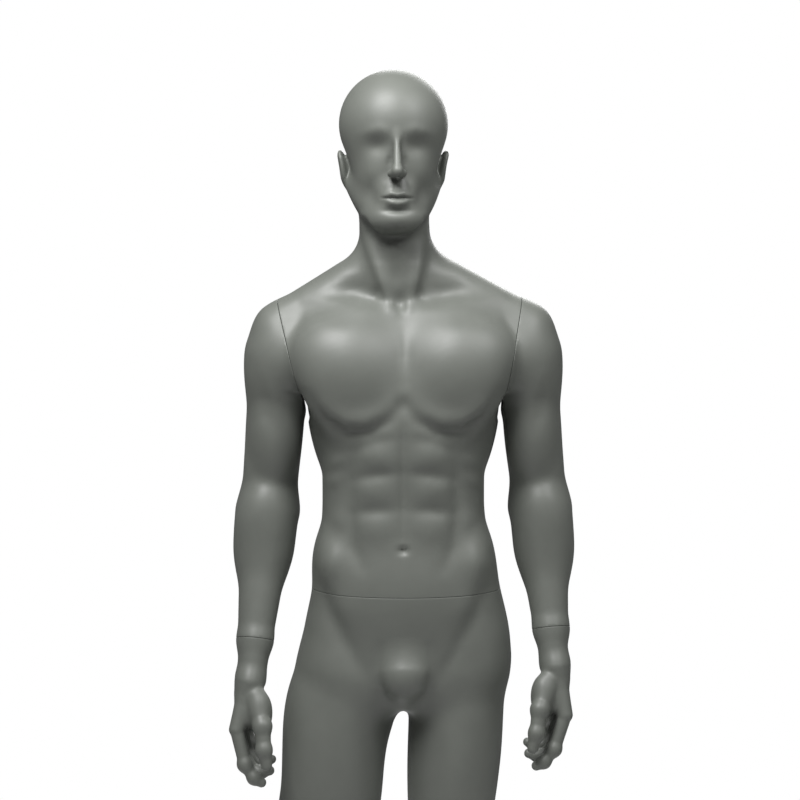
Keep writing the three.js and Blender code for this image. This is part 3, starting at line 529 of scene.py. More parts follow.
def arm_forms(side):
    s = side["s"]
    x, y, z = side["elbow"]
    hand = side["hand"]
    t = (side["cut"] - z) / (hand[2] - z)
    cuff = [v + (h - v) * t for v, h in zip(side["elbow"], hand)]
    return [
        Ball((s * 185, 4, 1437), (53, 57, 84), 26, (0, s * -4, 0)),  # shoulder muscle
        Bar((s * 188, 8, 1440), (x - s, 28, z + 15), 46, 42, 30),
        Ball((s * 194, -6, 1318), (37, 31, 70), 14, (6, 0, 0)),  # upper arm, front
        Ball((s * 200, 36, 1335), (38, 30, 95), 16, (2, 0, 0)),  # upper arm, back
        Bar((x, y - 4, z), cuff, 43, 26.5, 30, (0, 1, 0), 0.96),
        Ball((x + s * 6, 8, 1155), (42, 35, 84), 26, (16, s * -4, 0)),  # forearm
        Ball((x - s, 30, 1150), (35, 29, 70), 16, (16, 0, 0)),
        Bar(cuff, hand, 25.5, 21, 12, (0, 1, 0), 1.2),  # wrist
    ]


def on_hand(side, spot):
    """A point of a hand, given outwards from the body, back and up from the middle of the wrist."""
    out, back, up = spot
    tilt = math.radians(side["tilt"])
    wide = out * math.cos(tilt) + up * math.sin(tilt)
    high = up * math.cos(tilt) - out * math.sin(tilt)
    x, y, z = side["hand"]
    return (x + side["s"] * wide, y + back + 0.12 * high, z + high)


# Knuckle, middle joint, end joint and tip of each finger, with the radius at both ends.
FINGERS = (
    (((20, -22, -70), (7, -24, -122), (-7, -24, -142), (-18, -23, -149)), 10.5, 7.6),
    (((20, -2, -74), (6, -3, -126), (-14, -4, -139), (-29, -4, -136)), 10.5, 7.6),
    (((18, 17, -71), (3, 16, -120), (-18, 14, -131), (-31, 12, -123)), 10, 7.2),
    (((15, 34, -64), (2, 33, -104), (-13, 31, -115), (-23, 29, -109)), 9, 6.6),
)
THUMB = (((-8, -20, -22), (-20, -37, -62), (-23, -43, -96), (-27, -43, -119)), 14, 8.6)


def digit(side, joints, wide, narrow, blend):
    points = [on_hand(side, joint) for joint in joints]
    radii = [wide, wide * 0.93, (wide + narrow) / 2 * 0.97, narrow]
    bars = [
        Bar(a, b, ra * 0.97, rb * 0.97, 7) for a, b, ra, rb in zip(points, points[1:], radii, radii[1:])
    ]
    knuckles = [Ball(p, (r * 0.98,) * 3, 7) for p, r in zip(points[1:3], radii[1:3])]
    return Group(bars + knuckles, blend)


def hand_forms(side):
    def at(*spot):
        return on_hand(side, spot)

    return [
        *arm_forms(side)[-4:],
        Bar(at(2, 0, 0), at(8, 2, -20), 19, 16, 16, (0, 1, 0), 1.5),
        *[Bar(at(5, joints[0][1] * 0.55, -14), at(*joints[0]), 14, 11.5, 10) for joints, _, _ in FINGERS],
        Ball(at(-15, -19, -46), (19, 21, 34), 14),  # ball of the thumb
        Ball(at(2, 22, -44), (17, 20, 34), 12),  # heel of the hand
        *[digit(side, joints, wide, narrow, 1.6) for joints, wide, narrow in FINGERS],
        digit(side, *THUMB, 5),
    ]


def leg_forms(side):
    s = side["s"]
    hip, knee, ankle = (np.array(side[joint], float) for joint in ("hip", "knee", "ankle"))
    wide = side["thigh"]
    turn = math.radians(side["toe_out"]) * s
    forward = np.array([math.sin(turn), -math.cos(turn)])
    across = (math.cos(turn), math.sin(turn), 0)

    def foot(along, out, up):
        x = ankle[0] + forward[0] * along + s * across[0] * out
        y = ankle[1] + forward[1] * along + s * across[1] * out
        return (x, y, SOLE_Z + up)

    def toe(out, tip, radius):
        return Group([Bar(foot(104, out * 0.8, 14), foot(tip, out, radius - 1), radius, radius, 4)], 6)

    lean = (0, side["lean"] * s, 0)
    return [
        Bar(hip + (0, 0, 20), knee, 84 * wide, 50, 14),
        Ball(hip + (knee - hip) * 0.25 + (s * 4, -12, 0), (70 * wide, 66, 150), 24, lean),
        Ball(hip + (knee - hip) * 0.35 + (s * 10, -26, 0), (52 * wide, 46, 140), 20),  # thigh, front
        Ball(knee + (0, -14, 0), (36, 38, 42), 20),  # kneecap
        Ball(knee + (0, -38, 4), (22, 16, 26), 14),
        Bar(knee, ankle, 46, 32, 20),
        Ball(knee + (ankle - knee) * 0.3 + (s * -6, 26, 0), (44, 40, 110), 20),  # calf
        Ball(knee + (ankle - knee) * 0.28 + (s * 14, 10, 0), (38, 42, 110), 20),
        Ball(foot(-22, 0, 30), (29, 30, 30), 16),  # heel
        Bar(foot(0, 0, 66), foot(112, -4, 22), 30, 22, 18, across, 1.15),  # instep
        Bar(foot(-15, 0, 22), foot(118, 0, 15), 26, 19, 14, across, 1.5),  # ball of the foot
        toe(-24, 158, 12.5),
        toe(-5, 160, 9),
        toe(11, 153, 8.5),
        toe(25, 144, 8.5),
        toe(37, 132, 8.5),
        Ball(ankle + (s * 24, 2, -5), (11, 13, 14), 10),  # ankle bones
        Ball(ankle + (s * -24, -4, 2), (11, 13, 14), 10),
        Wall((0, 0, SOLE_Z), (0, 0, -1), 6),
    ]


def shoulder_axis(side):
    droop = math.radians(side["droop"])
    return (side["s"] * math.cos(droop), 0.0, -math.sin(droop))


def wrist_place(side):
    """The middle and the axis of a wrist's seam."""
    elbow, hand = (np.array(side[key], float) for key in ("elbow", "hand"))
    axis = (hand - elbow) / np.linalg.norm(hand - elbow)
    return elbow + axis * (side["cut"] - elbow[2]) / axis[2], axis


def below_armpit(z):
    return 2.5 * np.maximum(0.0, ARMPIT_Z + 10 - z)


def torso_forms():
    arms = [Group(arm_forms(side), LIMB_BLEND, below_armpit) for side in SIDES]
    sides = []
    for side in SIDES:
        axis = np.array(shoulder_axis(side))
        sides.append(Wall(np.array(side["shoulder"]) - axis, axis, SEAM_BLEND, SEAM_LOW))
    return [*trunk_forms(), *head_forms(), *arms, *sides]


def arm_skin_forms(side):
    axis = np.array(shoulder_axis(side))
    inner = Wall(np.array(side["shoulder"]) + axis, -axis, SEAM_BLEND, SEAM_LOW)
    return [Group(trunk_forms(), LIMB_BLEND, below_armpit), Group(arm_forms(side), LIMB_BLEND), inner]


def leg_skin_forms():
    return [*trunk_forms(), *[Group(leg_forms(side), LEG_BLEND) for side in SIDES]]


def groin_line(s):
    """The line from the hip bone to the groin, which crosses the waist's seam."""
    return [
        Stroke([(s * 132, 1112), (s * 114, 1062), (s * 84, 1008), (s * 52, 956), (s * 34, 925)], 13, -3.0),
        Stroke([(s * 118, 1124), (s * 100, 1084), (s * 72, 1040)], 18, 1.8),
    ]


def torso_relief():
    def side(s):
        return [
            # lower edge of the breast
            Stroke(
                [(0, 1376), (s * 22, 1350), (s * 52, 1333), (s * 84, 1331), (s * 118, 1350), (s * 144, 1388)],
                10,
                -5.0,
            ),
            Stroke([(s * 26, 1364), (s * 56, 1350), (s * 86, 1350), (s * 116, 1368)], 15, 4.2),
            # belly muscles
            Dent((s * 38, 1294), 27, 19, 4.2),
            Dent((s * 42, 1243), 28, 21, 4.8),
            Dent((s * 40, 1186), 27, 26, 4.2),
            Stroke([(s * 12, 1322), (s * 44, 1318), (s * 70, 1304)], 9, -1.6),
            Stroke([(s * 10, 1270), (s * 42, 1268), (s * 74, 1260)], 9, -2.6),
            Stroke([(s * 10, 1215), (s * 42, 1214), (s * 76, 1209)], 10, -2.8),
            Stroke(
                [(s * 70, 1318), (s * 80, 1270), (s * 82, 1215), (s * 76, 1160), (s * 62, 1130)], 12, -4.0
            ),
            # ribs and flank
            Dent((s * 100, 1285), 16, 10, 2.0, s * -30),
            Dent((s * 106, 1255), 16, 9, 1.8, s * -30),
            Stroke([(s * 84, 1215), (s * 104, 1190), (s * 126, 1160)], 14, 1.8),
            *groin_line(s),
            # collarbone
            Stroke([(s * 16 - 4, 1512), (s * 52 - 4, 1513), (s * 96, 1521), (s * 146, 1528)], 10, 3.2),
            Stroke([(s * 40 - 4, 1532), (s * 76, 1543), (s * 104, 1545)], 14, -4.4),
            Stroke([(s * 66, 1497), (s * 100, 1500), (s * 128, 1506)], 12, -1.6),
            # muscles of the neck
            Stroke(
                [(s * 48 - 14, 1650), (s * 35 - 10, 1592), (s * 20 - 6, 1540), (s * 12 - 5, 1514)],
                9,
                5.2,
                tip=0.6,
            ),
            Stroke([(s * 30 - 8, 1545), (s * 40 - 8, 1524)], 7, -2.4),
            # back
            Stroke([(s * 48, 1500), (s * 34, 1440), (s * 52, 1372), (s * 100, 1352)], 13, -3.4, True),
            Stroke([(s * 60, 1474), (s * 120, 1500)], 12, 2.4, True),
            Stroke([(s * 30, 1330), (s * 27, 1230), (s * 32, 1130)], 15, 4.2, True),
            Dent((s * 34, 1058), 12, 9, -2.0, 0, True),
        ]

    return [
        *both(side),
        Stroke([(0, 1480), (0, 1430), (0, 1372)], 12, -2.6),
        Stroke([(0, 1370), (0, 1280), (0, 1170)], 7, -4.0),
        Dent((-5, 1522), 11, 13, -5.5),
        Dent((-13, 1604), 11, 15, 2.4),
        Dent((-11, 1562), 11, 22, -3.4),
        Dent((0, 1156), 6.5, 6, -6.5),
        Stroke([(-8, 1161), (0, 1165), (8, 1161)], 3.2, 1.4),
        Stroke([(-4, 1560), (0, 1480), (0, 1300), (0, 1120), (0, 1040)], 13, -6.5, True),
        *face_relief(),
    ]


def face_relief():
    def x(across):
        return HEAD_X + 6 + across

    def side(s):
        return [
            Dent((x(s * 31), 1754), 19, 14, -6.5, s * -6),  # eye hollow
            Stroke([(x(s * 8), 1774), (x(s * 28), 1779), (x(s * 52), 1774)], 9, 1.6),  # brow
            Dent((x(s * 40), 1718), 16, 14, 1.6),  # cheekbone
            Dent((x(s * 36), 1684), 15, 20, -2.2, s * 14),
            Stroke([(x(s * 13), 1712), (x(s * 20), 1698), (x(s * 27), 1686)], 5, -0.9),
            Stroke([(x(s * 11), 1742), (x(s * 12), 1724)], 5, -1.6),
        ]

    return [
        *both(side),
        # lips, and the line between them
        Stroke(
            [(x(-24), 1679), (x(-9), 1685), (x(0), 1683.5), (x(9), 1685), (x(24), 1679)], 4.6, 3.4, tip=0.1
        ),
        Stroke([(x(-19), 1674), (x(0), 1670.5), (x(19), 1674)], 6.4, 4.8, tip=0.1),
        Stroke([(x(-25), 1678.5), (x(0), 1678), (x(25), 1678.5)], 2.4, -3.0, tip=0.2),
        Dent((x(0), 1660), 18, 4.5, -3.2),
        Dent((x(0), 1694), 4, 6, -1.4),
        Dent((x(0), 1648), 15, 9, 1.6),
    ]


# ------------------------------------------------------------------ skins


def row(point):
    """A point of the figure, in mm, as a place in the row's frame in metres."""
    return ((point[0] + FIGURE_X) * MM, point[1] * MM, point[2] * MM)


def places_of(bm):
    return np.array([vert.co[:] for vert in bm.verts]) / MM - np.array([FIGURE_X, 0, 0])


def put(bm, points):
    for vert, point in zip(bm.verts, points):
        vert.co = row(point)


def netted(forms, box, step, depth=0.0):
    bm = bmesh.new()
    points, quads = net(forms, np.array(box[0], float), np.array(box[1], float), step, depth)
    verts = [bm.verts.new(row(point)) for point in points]
    for quad in quads:
        bm.faces.new([verts[i] for i in (quad[::-1] if depth else quad)])
    return bm


def refined(bm, forms, boxes):
    """Twice as fine inside each box, given by its lowest and highest corners."""
    for low, high in boxes:
        corners = (Vector(row(low)), Vector(row(high)))
        within = {
            vert for vert in bm.verts if all(corners[0][i] < vert.co[i] < corners[1][i] for i in range(3))
        }
        edges = [edge for edge in bm.edges if all(vert in within for vert in edge.verts)]
        bmesh.ops.subdivide_edges(bm, edges=edges, cuts=1, use_grid_fill=True)
        put(bm, snapped(forms, places_of(bm)))


def carve(bm, forms, relief):
    """Raises and lowers the skin by the relief."""
    points = places_of(bm)
    normals = slope_at(forms, points)
    normals /= np.linalg.norm(normals, axis=1)[:, None] + 1e-9
    height = sum(mark.height(points, normals) for mark in relief)
    put(bm, points + normals * height[:, None])


def cut_at(bm, at, axis):
    """Cuts off what lies along the axis, and gives the edges of the opening.

    On the trunk, a shoulder's tilted cut stops under the armpit.
    """
    spot, way = Vector(row(at)), Vector(axis).normalized()
    lowest = SEAM_LOW[0] * MM if is_shoulder(at) and at_trunk(bm) else -1
    verts = [vert for vert in bm.verts if vert.co.z > lowest]
    keep = set(verts)
    edges = [edge for edge in bm.edges if all(vert in keep for vert in edge.verts)]
    faces = [face for face in bm.faces if all(vert in keep for vert in face.verts)]
    geom = [*verts, *edges, *faces]
    bmesh.ops.bisect_plane(bm, geom=geom, dist=1e-6, plane_co=spot, plane_no=way, clear_outer=True)
    return opening(bm, spot, way)


def is_shoulder(at):
    return ARMPIT_Z < at[2] < SHOULDER_TOP_Z


def at_trunk(bm):
    """Whether a skin reaches the middle of the figure, as only the trunk and the hips do."""
    return any(abs(vert.co.x - FIGURE_X * MM) < 0.02 for vert in bm.verts)


def opening(bm, spot, way):
    return [
        edge
        for edge in bm.edges
        if edge.is_boundary and all(abs((vert.co - spot).dot(way)) < 2e-5 for vert in edge.verts)
    ]


def rolled(bm, edges, axis):
    """Rounds the rim over a little, and gives its new edges."""
    way = Vector(axis).normalized()
    for out, inward in ROLL:
        bm.normal_update()
        lean = {vert: vert.normal.copy() for edge in edges for vert in edge.verts}
        made = bmesh.ops.extrude_edge_only(bm, edges=edges)["geom"]
        before = {tuple(vert.co): normal for vert, normal in lean.items()}
        for vert in (item for item in made if isinstance(item, bmesh.types.BMVert)):
            normal = before.get(tuple(vert.co), Vector())
            flat = normal - way * normal.dot(way)
            if flat.length > 1e-6:
                flat.normalize()
            vert.co += (way * out - flat * inward) * MM
        edges = [item for item in made if isinstance(item, bmesh.types.BMEdge) and item.is_boundary]
    return edges


def trimmed(bm, at, axis):
    """Cuts a skin short of its seam, evens out the rim's points and rolls the rim over."""
    short = np.array(at, float) - axis * (GAP + RIM_RUN)
    edges = cut_at(bm, short, axis)
    verts = list(dict.fromkeys(vert for edge in edges for vert in edge.verts))
    bmesh.ops.remove_doubles(bm, verts=verts, dist=RIM_SPACING * MM)
    return rolled(bm, opening(bm, Vector(row(short)), Vector(axis)), axis)


def shell(name, forms, box, step, seams, boxes, relief):
    """A hollow skin, open at its seams: each seam is a middle and the axis out of the piece."""
    bm = netted(forms, box, step)
    refined(bm, forms, boxes)
    carve(bm, forms, relief)
    lining = netted(forms, box, LINING_STEP, WALL_DEPTH)
    rims = []
    for at, axis in seams:
        axis = np.array(axis, float)
        trimmed(bm, at, axis)
        rim = np.array(at, float) - axis * GAP
        cut_at(lining, rim, axis)
        rims.append((Vector(row(rim)), Vector(axis)))
    mesh = bpy.data.meshes.new(name)
    lining.to_mesh(mesh)
    lining.free()
    bm.from_mesh(mesh)
    for spot, way in rims:
        bmesh.ops.bridge_loops(bm, edges=opening(bm, spot, way))
    loose = [vert for vert in bm.verts if not vert.link_faces]
    bmesh.ops.delete(bm, geom=loose, context="VERTS")
    return finished(bm, mesh, name)


def plug(name, forms, box, step, at, axis):
    """A solid skin with one flat end, at its seam."""
    bm = netted(forms, box, step)
    bmesh.ops.holes_fill(bm, edges=trimmed(bm, at, np.array(axis, float)))
    return finished(bm, bpy.data.meshes.new(name), name)


def finished(bm, mesh, name, smooth=True):
    for face in bm.faces:
        face.smooth = smooth
    bm.to_mesh(mesh)
    bm.free()
    piece = bpy.data.objects.new(name, mesh)
    bpy.context.scene.collection.objects.link(piece)
    return piece


def dressed(piece, body, node):
    """Puts a painted skin on its body, in place of the plain one."""
    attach(piece, body)
    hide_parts(node)
    look = finish()
    paint = bpy.data.materials.get("satin_paint") or satin_paint(look.skin, look.skin_roughness)
    piece.data.materials.append(paint)


# ------------------------------------------------------------------ finishes


class Wire:
    """A shader socket or number that arithmetic can be written with."""

    def __init__(self, paint, socket):
        self.paint = paint
        self.socket = socket

    def sum(self, operation, a, b):
        return self.paint.node("ShaderNodeMath", {"operation": operation}, {0: a, 1: b})

    def __add__(self, other):
        return self.sum("ADD", self, other)

    __radd__ = __add__

    def __mul__(self, other):
        return self.sum("MULTIPLY", self, other)

    __rmul__ = __mul__

    def __sub__(self, other):
        return self.sum("SUBTRACT", self, other)

    def __rsub__(self, other):
        return self.sum("SUBTRACT", other, self)


class Paint:
    """A material and the nodes that make it."""

    def __init__(self, name, **constants):
        self.material = bpy.data.materials.new(name)
        self.material.use_nodes = True
        self.tree = self.material.node_tree
        self.tree.nodes.clear()
        self.shader = self.tree.nodes.new("ShaderNodeBsdfPrincipled")
        output = self.tree.nodes.new("ShaderNodeOutputMaterial")
        self.tree.links.new(self.shader.outputs["BSDF"], output.inputs["Surface"])
        for socket, value in constants.items():
            self.shader.inputs[socket.replace("_", " ")].default_value = value

    def node(self, kind, settings=None, sockets=None, output=0):
        node = self.tree.nodes.new(kind)
        for key, value in (settings or {}).items():
            if key == "stops":
                ramp = node.color_ramp
                for element, (position, shade) in zip(ramp.elements, value):
                    element.position = position
                    element.color = (shade, shade, shade, 1)
            else:
                setattr(node, key, value)
        for key, value in (sockets or {}).items():
            self.feed(node.inputs[key], value)
        return Wire(self, node.outputs[output])

    def feed(self, socket, value):
        if isinstance(value, Wire):
            self.tree.links.new(value.socket, socket)
        else:
            socket.default_value = value

    def place(self, scale=(1, 1, 1)):
        spot = self.node("ShaderNodeTexCoord", output="Object")
        return self.node("ShaderNodeMapping", {}, {"Vector": spot, "Scale": scale})

    def noise(self, scale, detail=3.0, stretch=(1, 1, 1), roughness=0.55):
        sockets = {"Vector": self.place(stretch), "Scale": scale, "Detail": detail, "Roughness": roughness}
        return self.node("ShaderNodeTexNoise", {}, sockets)

    def ramp(self, value, low, high):
        return self.node("ShaderNodeValToRGB", {"stops": ((low, 0.0), (high, 1.0))}, {"Fac": value})

    def blend(self, factor, a, b):
        settings = {"data_type": "RGBA", "clamp_factor": True}
        return self.node("ShaderNodeMix", settings, {0: factor, 6: a, 7: b}, output=2)

    def bump(self, height, strength, distance):
        sockets = {"Height": height, "Strength": strength, "Distance": distance}
        normal = self.node("ShaderNodeBump", {}, sockets)
        self.feed(self.shader.inputs["Normal"], normal)

    def use(self, socket, value):
        self.feed(self.shader.inputs[socket], value)


def colour(values, factor=1.0):
    return (*(channel * factor for channel in values[:3]), 1.0)


def satin_paint(base, roughness):
    """Sprayed satin paint: a fine orange peel, faint clouds and pale specks of dust."""
    paint = Paint("satin_paint", Specular_IOR_Level=0.5, Coat_Roughness=0.35)
    cloud = paint.noise(5.0, 3.0)
    mottle = paint.noise(38.0, 4.0)
    peel = paint.noise(620.0, 2.0)
    dust = paint.noise(2300.0, 2.0)
    tone = paint.ramp(cloud * 0.6 + mottle * 0.4, 0.36, 0.66)
    shade = paint.blend(tone, colour(base, 0.965), colour(base, 1.04))
    speck = paint.ramp(dust, 0.60, 0.70)
    shade = paint.blend(speck * 0.16, shade, colour(base, 1.5))
    paint.use("Base Color", shade)
    paint.use("Roughness", roughness + (mottle - 0.5) * 0.10 + (peel - 0.5) * 0.06)
    paint.bump(peel * 0.7 + dust * 0.3 + mottle * 0.8, 0.10, 0.0006)
    return paint.material


def metal(name, base, roughness, grain=(1, 1, 1), scale=140.0, wear=0.2):
    """Plated or brushed steel, with a grain along one direction."""
    paint = Paint(name, Metallic=1.0)
    lines = paint.noise(scale, 5.0, grain)
    cloud = paint.noise(14.0, 3.0)
    marks = paint.ramp(paint.noise(90.0, 6.0, roughness=0.75), 0.58, 0.72)
    shade = paint.blend(paint.ramp(lines, 0.3, 0.7), colour(base, 0.86), colour(base, 1.1))
    paint.use("Base Color", paint.blend(marks * wear, shade, colour(base, 0.6)))
    paint.use("Roughness", roughness + (lines - 0.5) * 0.22 + (cloud - 0.5) * 0.12)
    paint.bump(lines, 0.12, 0.0004)
    return paint.material


def board(base):
    """Bare fibreboard."""
    paint = Paint("fibreboard", Roughness=0.85)
    fibre = paint.noise(420.0, 6.0, (1, 1, 0.4))
    cloud = paint.noise(30.0, 3.0)
    shade = paint.blend(paint.ramp(fibre, 0.35, 0.68), colour(base, 0.72), colour(base, 1.2))
    paint.use("Base Color", paint.blend(cloud * 0.3, shade, colour(base, 0.9)))
    paint.use("Roughness", 0.80 + (fibre - 0.5) * 0.15)
    paint.bump(fibre, 0.35, 0.0008)
    return paint.material


def moulded(name, base, roughness, scale):
    """Moulded nylon or rubber with a fine texture."""
    paint = Paint(name)
    grain = paint.noise(scale, 3.0)
    scuff = paint.ramp(paint.noise(60.0, 5.0, roughness=0.7), 0.6, 0.75)
    shade = paint.blend(paint.ramp(grain, 0.3, 0.7), colour(base, 0.8), colour(base, 1.3))
    paint.use("Base Color", paint.blend(scuff * 0.35, shade, colour(base, 2.4)))
    paint.use("Roughness", roughness + (grain - 0.5) * 0.16)
    paint.bump(grain, 0.25, 0.0005)
    return paint.material


# ------------------------------------------------------------------ settings


def tint(name, of, default):
    """A colour that a user can change."""
    return FloatVectorProperty(name=name, description=f"Colour of {of}", subtype="COLOR", default=default)


class MannequinFinish(bpy.types.PropertyGroup):
    """Colours and gloss."""

    skin: tint("Skin", "the satin paint", (0.118, 0.125, 0.112))
    skin_roughness: FloatProperty(
        name="Skin roughness",
        description="Dullness of the satin paint",
        subtype="FACTOR",
        default=0.49,
        min=0.0,
        max=1.0,
    )
    steel: tint("Steel", "the plated fittings", (0.56, 0.57, 0.58))
    plate: tint("Base plate", "the brushed base", (0.50, 0.51, 0.52))
    board: tint("Board", "the boards in the seams", (0.36, 0.24, 0.14))
    nylon: tint("Nylon", "the hubs and the knob", (0.030, 0.030, 0.032))
    rubber: tint("Rubber", "the pad under the base", (0.02, 0.02, 0.02))


class MannequinSizes(bpy.types.PropertyGroup):
    """How finely the skins are drawn, and how bright the light is."""

    body_step: FloatProperty(
        name="Body step", description="Size of the body's faces in mm", default=4.5, min=2.0, max=20.0
    )
    hand_step: FloatProperty(
        name="Hand step", description="Size of the hands' faces in mm", default=2.0, min=1.0, max=8.0
    )
    lamp_power: FloatProperty(
        name="Lamp", description="Power of the main soft box in watts", default=82.0, min=0.0, unit="POWER"
    )


def finish():
    return bpy.context.scene.mannequin_finish


def sizes():
    return bpy.context.scene.mannequin_sizes


# ------------------------------------------------------------------ operators


class MANNEQUIN_OT_torso(bpy.types.Operator):
    """Models the head and trunk down to the waist"""

    bl_idname = "mannequin.torso"
    bl_label = "Head and trunk"

    def execute(self, context):
        seams = [((0, 0, WAIST_Z), (0, 0, -1))]
        seams += [(side["shoulder"], shoulder_axis(side)) for side in SIDES]
        face = ((-75, -150, 1632), (50, -40, 1800))
        mouth = ((-45, -150, 1650), (24, -70, 1700))
        ears = [((HEAD_X + s * 82 - 22, -30, 1682), (HEAD_X + s * 82 + 22, 45, 1764)) for s in (1, -1)]
        piece = shell(
            "head_and_trunk",
            torso_forms(),
            ((-215, -150, 1066), (215, 140, 1890)),
            sizes().body_step,
            seams,
            (face, *ears, mouth),
            torso_relief(),
        )
        dressed(piece, "upper_body", "torso_shell")
        return {"FINISHED"}


class MANNEQUIN_OT_arms(bpy.types.Operator):
    """Models both arms, from the shoulder's seam to the wrist's"""

    bl_idname = "mannequin.arms"
    bl_label = "Arms"

    def execute(self, context):
        for side in SIDES:
            s, name = side["s"], side["name"]
            axis = np.array(shoulder_axis(side))
            at, along = wrist_place(side)
            xs = sorted((s * 118, s * 285))
            piece = shell(
                f"{name}_arm",
                arm_skin_forms(side),
                ((xs[0], -110, side["cut"] - 30), (xs[1], 130, 1560)),
                sizes().body_step,
                [(side["shoulder"], -axis), (at, along)],
                (),
                arm_relief(side),
            )
            dressed(piece, f"{name}_arm", f"{name}_arm_shell")
        return {"FINISHED"}


def arm_relief(side):
    s = side["s"]
    x, _, z = side["elbow"]
    return [
        Stroke([(s * 214, 1400), (s * 206, 1352), (s * 196, 1330)], 11, -2.0),  # under the shoulder muscle
        Dent((s * 196, 1300), 17, 46, 1.6),
        Stroke([(x - s * 12, z - 26), (x - s * 2, z - 90), (x + s * 4, z - 150)], 12, 1.2),
        Dent((x + s * 2, z + 4), 12, 14, 2.2, 0, True),  # point of the elbow
        Stroke([(x + s * 2, z + 140), (x + s * 2, z + 60)], 12, -1.6, True),
    ]


class MANNEQUIN_OT_hands(bpy.types.Operator):
    """Models both hands, with their fingers half curled"""

    bl_idname = "mannequin.hands"
    bl_label = "Hands"

    def execute(self, context):
        for side in SIDES:
            s, name = side["s"], side["name"]
            x, y, z = side["hand"]
            at, along = wrist_place(side)
            xs = sorted((x - s * 62, x + s * 48))
            box = ((xs[0], y - 85, z - 178), (xs[1], y + 62, side["cut"] + 16))
            piece = plug(f"{name}_hand_skin", hand_forms(side), box, sizes().hand_step, at, -along)
            dressed(piece, f"{name}_hand", f"{name}_hand")
        return {"FINISHED"}


class MANNEQUIN_OT_legs(bpy.types.Operator):
    """Models the hips, legs and feet"""

    bl_idname = "mannequin.legs"
    bl_label = "Hips and legs"

    def execute(self, context):
        feet = [((side["ankle"][0] - 75, -170, 0), (side["ankle"][0] + 75, 10, 62)) for side in SIDES]
        piece = shell(
            "hips_and_legs",
            leg_skin_forms(),
            ((-300, -180, -4), (200, 150, 1105)),
            sizes().body_step * LEG_COARSENESS,
            [((0, 0, WAIST_Z), (0, 0, 1))],
            feet,
            leg_relief(),
        )
        dressed(piece, "lower_body", "legs_shell")
        return {"FINISHED"}


def leg_relief():
    def side(s):
        x, _, z = (LEFT if s > 0 else RIGHT)["knee"]
        return [
            *groin_line(s),
            Stroke([(s * 36 + 2, 1010), (s * 42 + 2, 972), (s * 33 + 2, 934), (s * 12 + 2, 918)], 8, -2.4),
            Stroke([(s * 96, 960), (s * 92, 860), (s * 74, 760)], 18, 2.0),
            Stroke([(s * 62, 900), (s * 50, 840), (s * 44, 760)], 14, -1.6),
            Dent((x, z + 4), 20, 24, 2.2),
            Stroke([(x - 26, z - 6), (x, z - 34), (x + 26, z - 6)], 9, -2.0),
            Stroke([(x - 26, z + 30), (x - 14, z + 70)], 12, -1.4),
            Stroke([(x + 26, z + 30), (x + 14, z + 70)], 12, -1.4),
            Stroke([(x - 24, z), (x + 24, z)], 9, -2.2, True),
        ]

    return [
        *both(side),
        Stroke([(0, 1040), (0, 990), (0, 905)], 9, -7.0, True, tip=0.6),
    ]


class MANNEQUIN_OT_fittings(bpy.types.Operator):
    """Gives the boards, fittings, screws and base their finishes"""

    bl_idname = "mannequin.fittings"
    bl_label = "Fittings and base"

    def execute(self, context):
        look = finish()
        steel = metal("plated_steel", look.steel, 0.34, (1, 1, 1), 260.0)
        plate = metal("brushed_steel", look.plate, 0.36, (1, 40, 40), 22.0, 0.1)
        rod = metal("rod_steel", look.steel, 0.22, (40, 40, 1), 26.0, 0.1)
        wood = board(look.board)
        nylon = moulded("black_nylon", look.nylon, 0.48, 700.0)
        rubber = moulded("pad_rubber", look.rubber, 0.85, 900.0)
        for name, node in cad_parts.items():
            if name.endswith(("shoulder_hub", "wrist_hub", "thumbscrew")):
                material = nylon
            elif name.endswith(("board", "rib")):
                material = wood
            elif name == "base_pad":
                material = rubber
            elif name == "base_plate":
                material = plate
            elif name == "base_rod":
                material = rod
            else:
                material = steel
            node.data.materials.clear()
            node.data.materials.append(material)
        return {"FINISHED"}


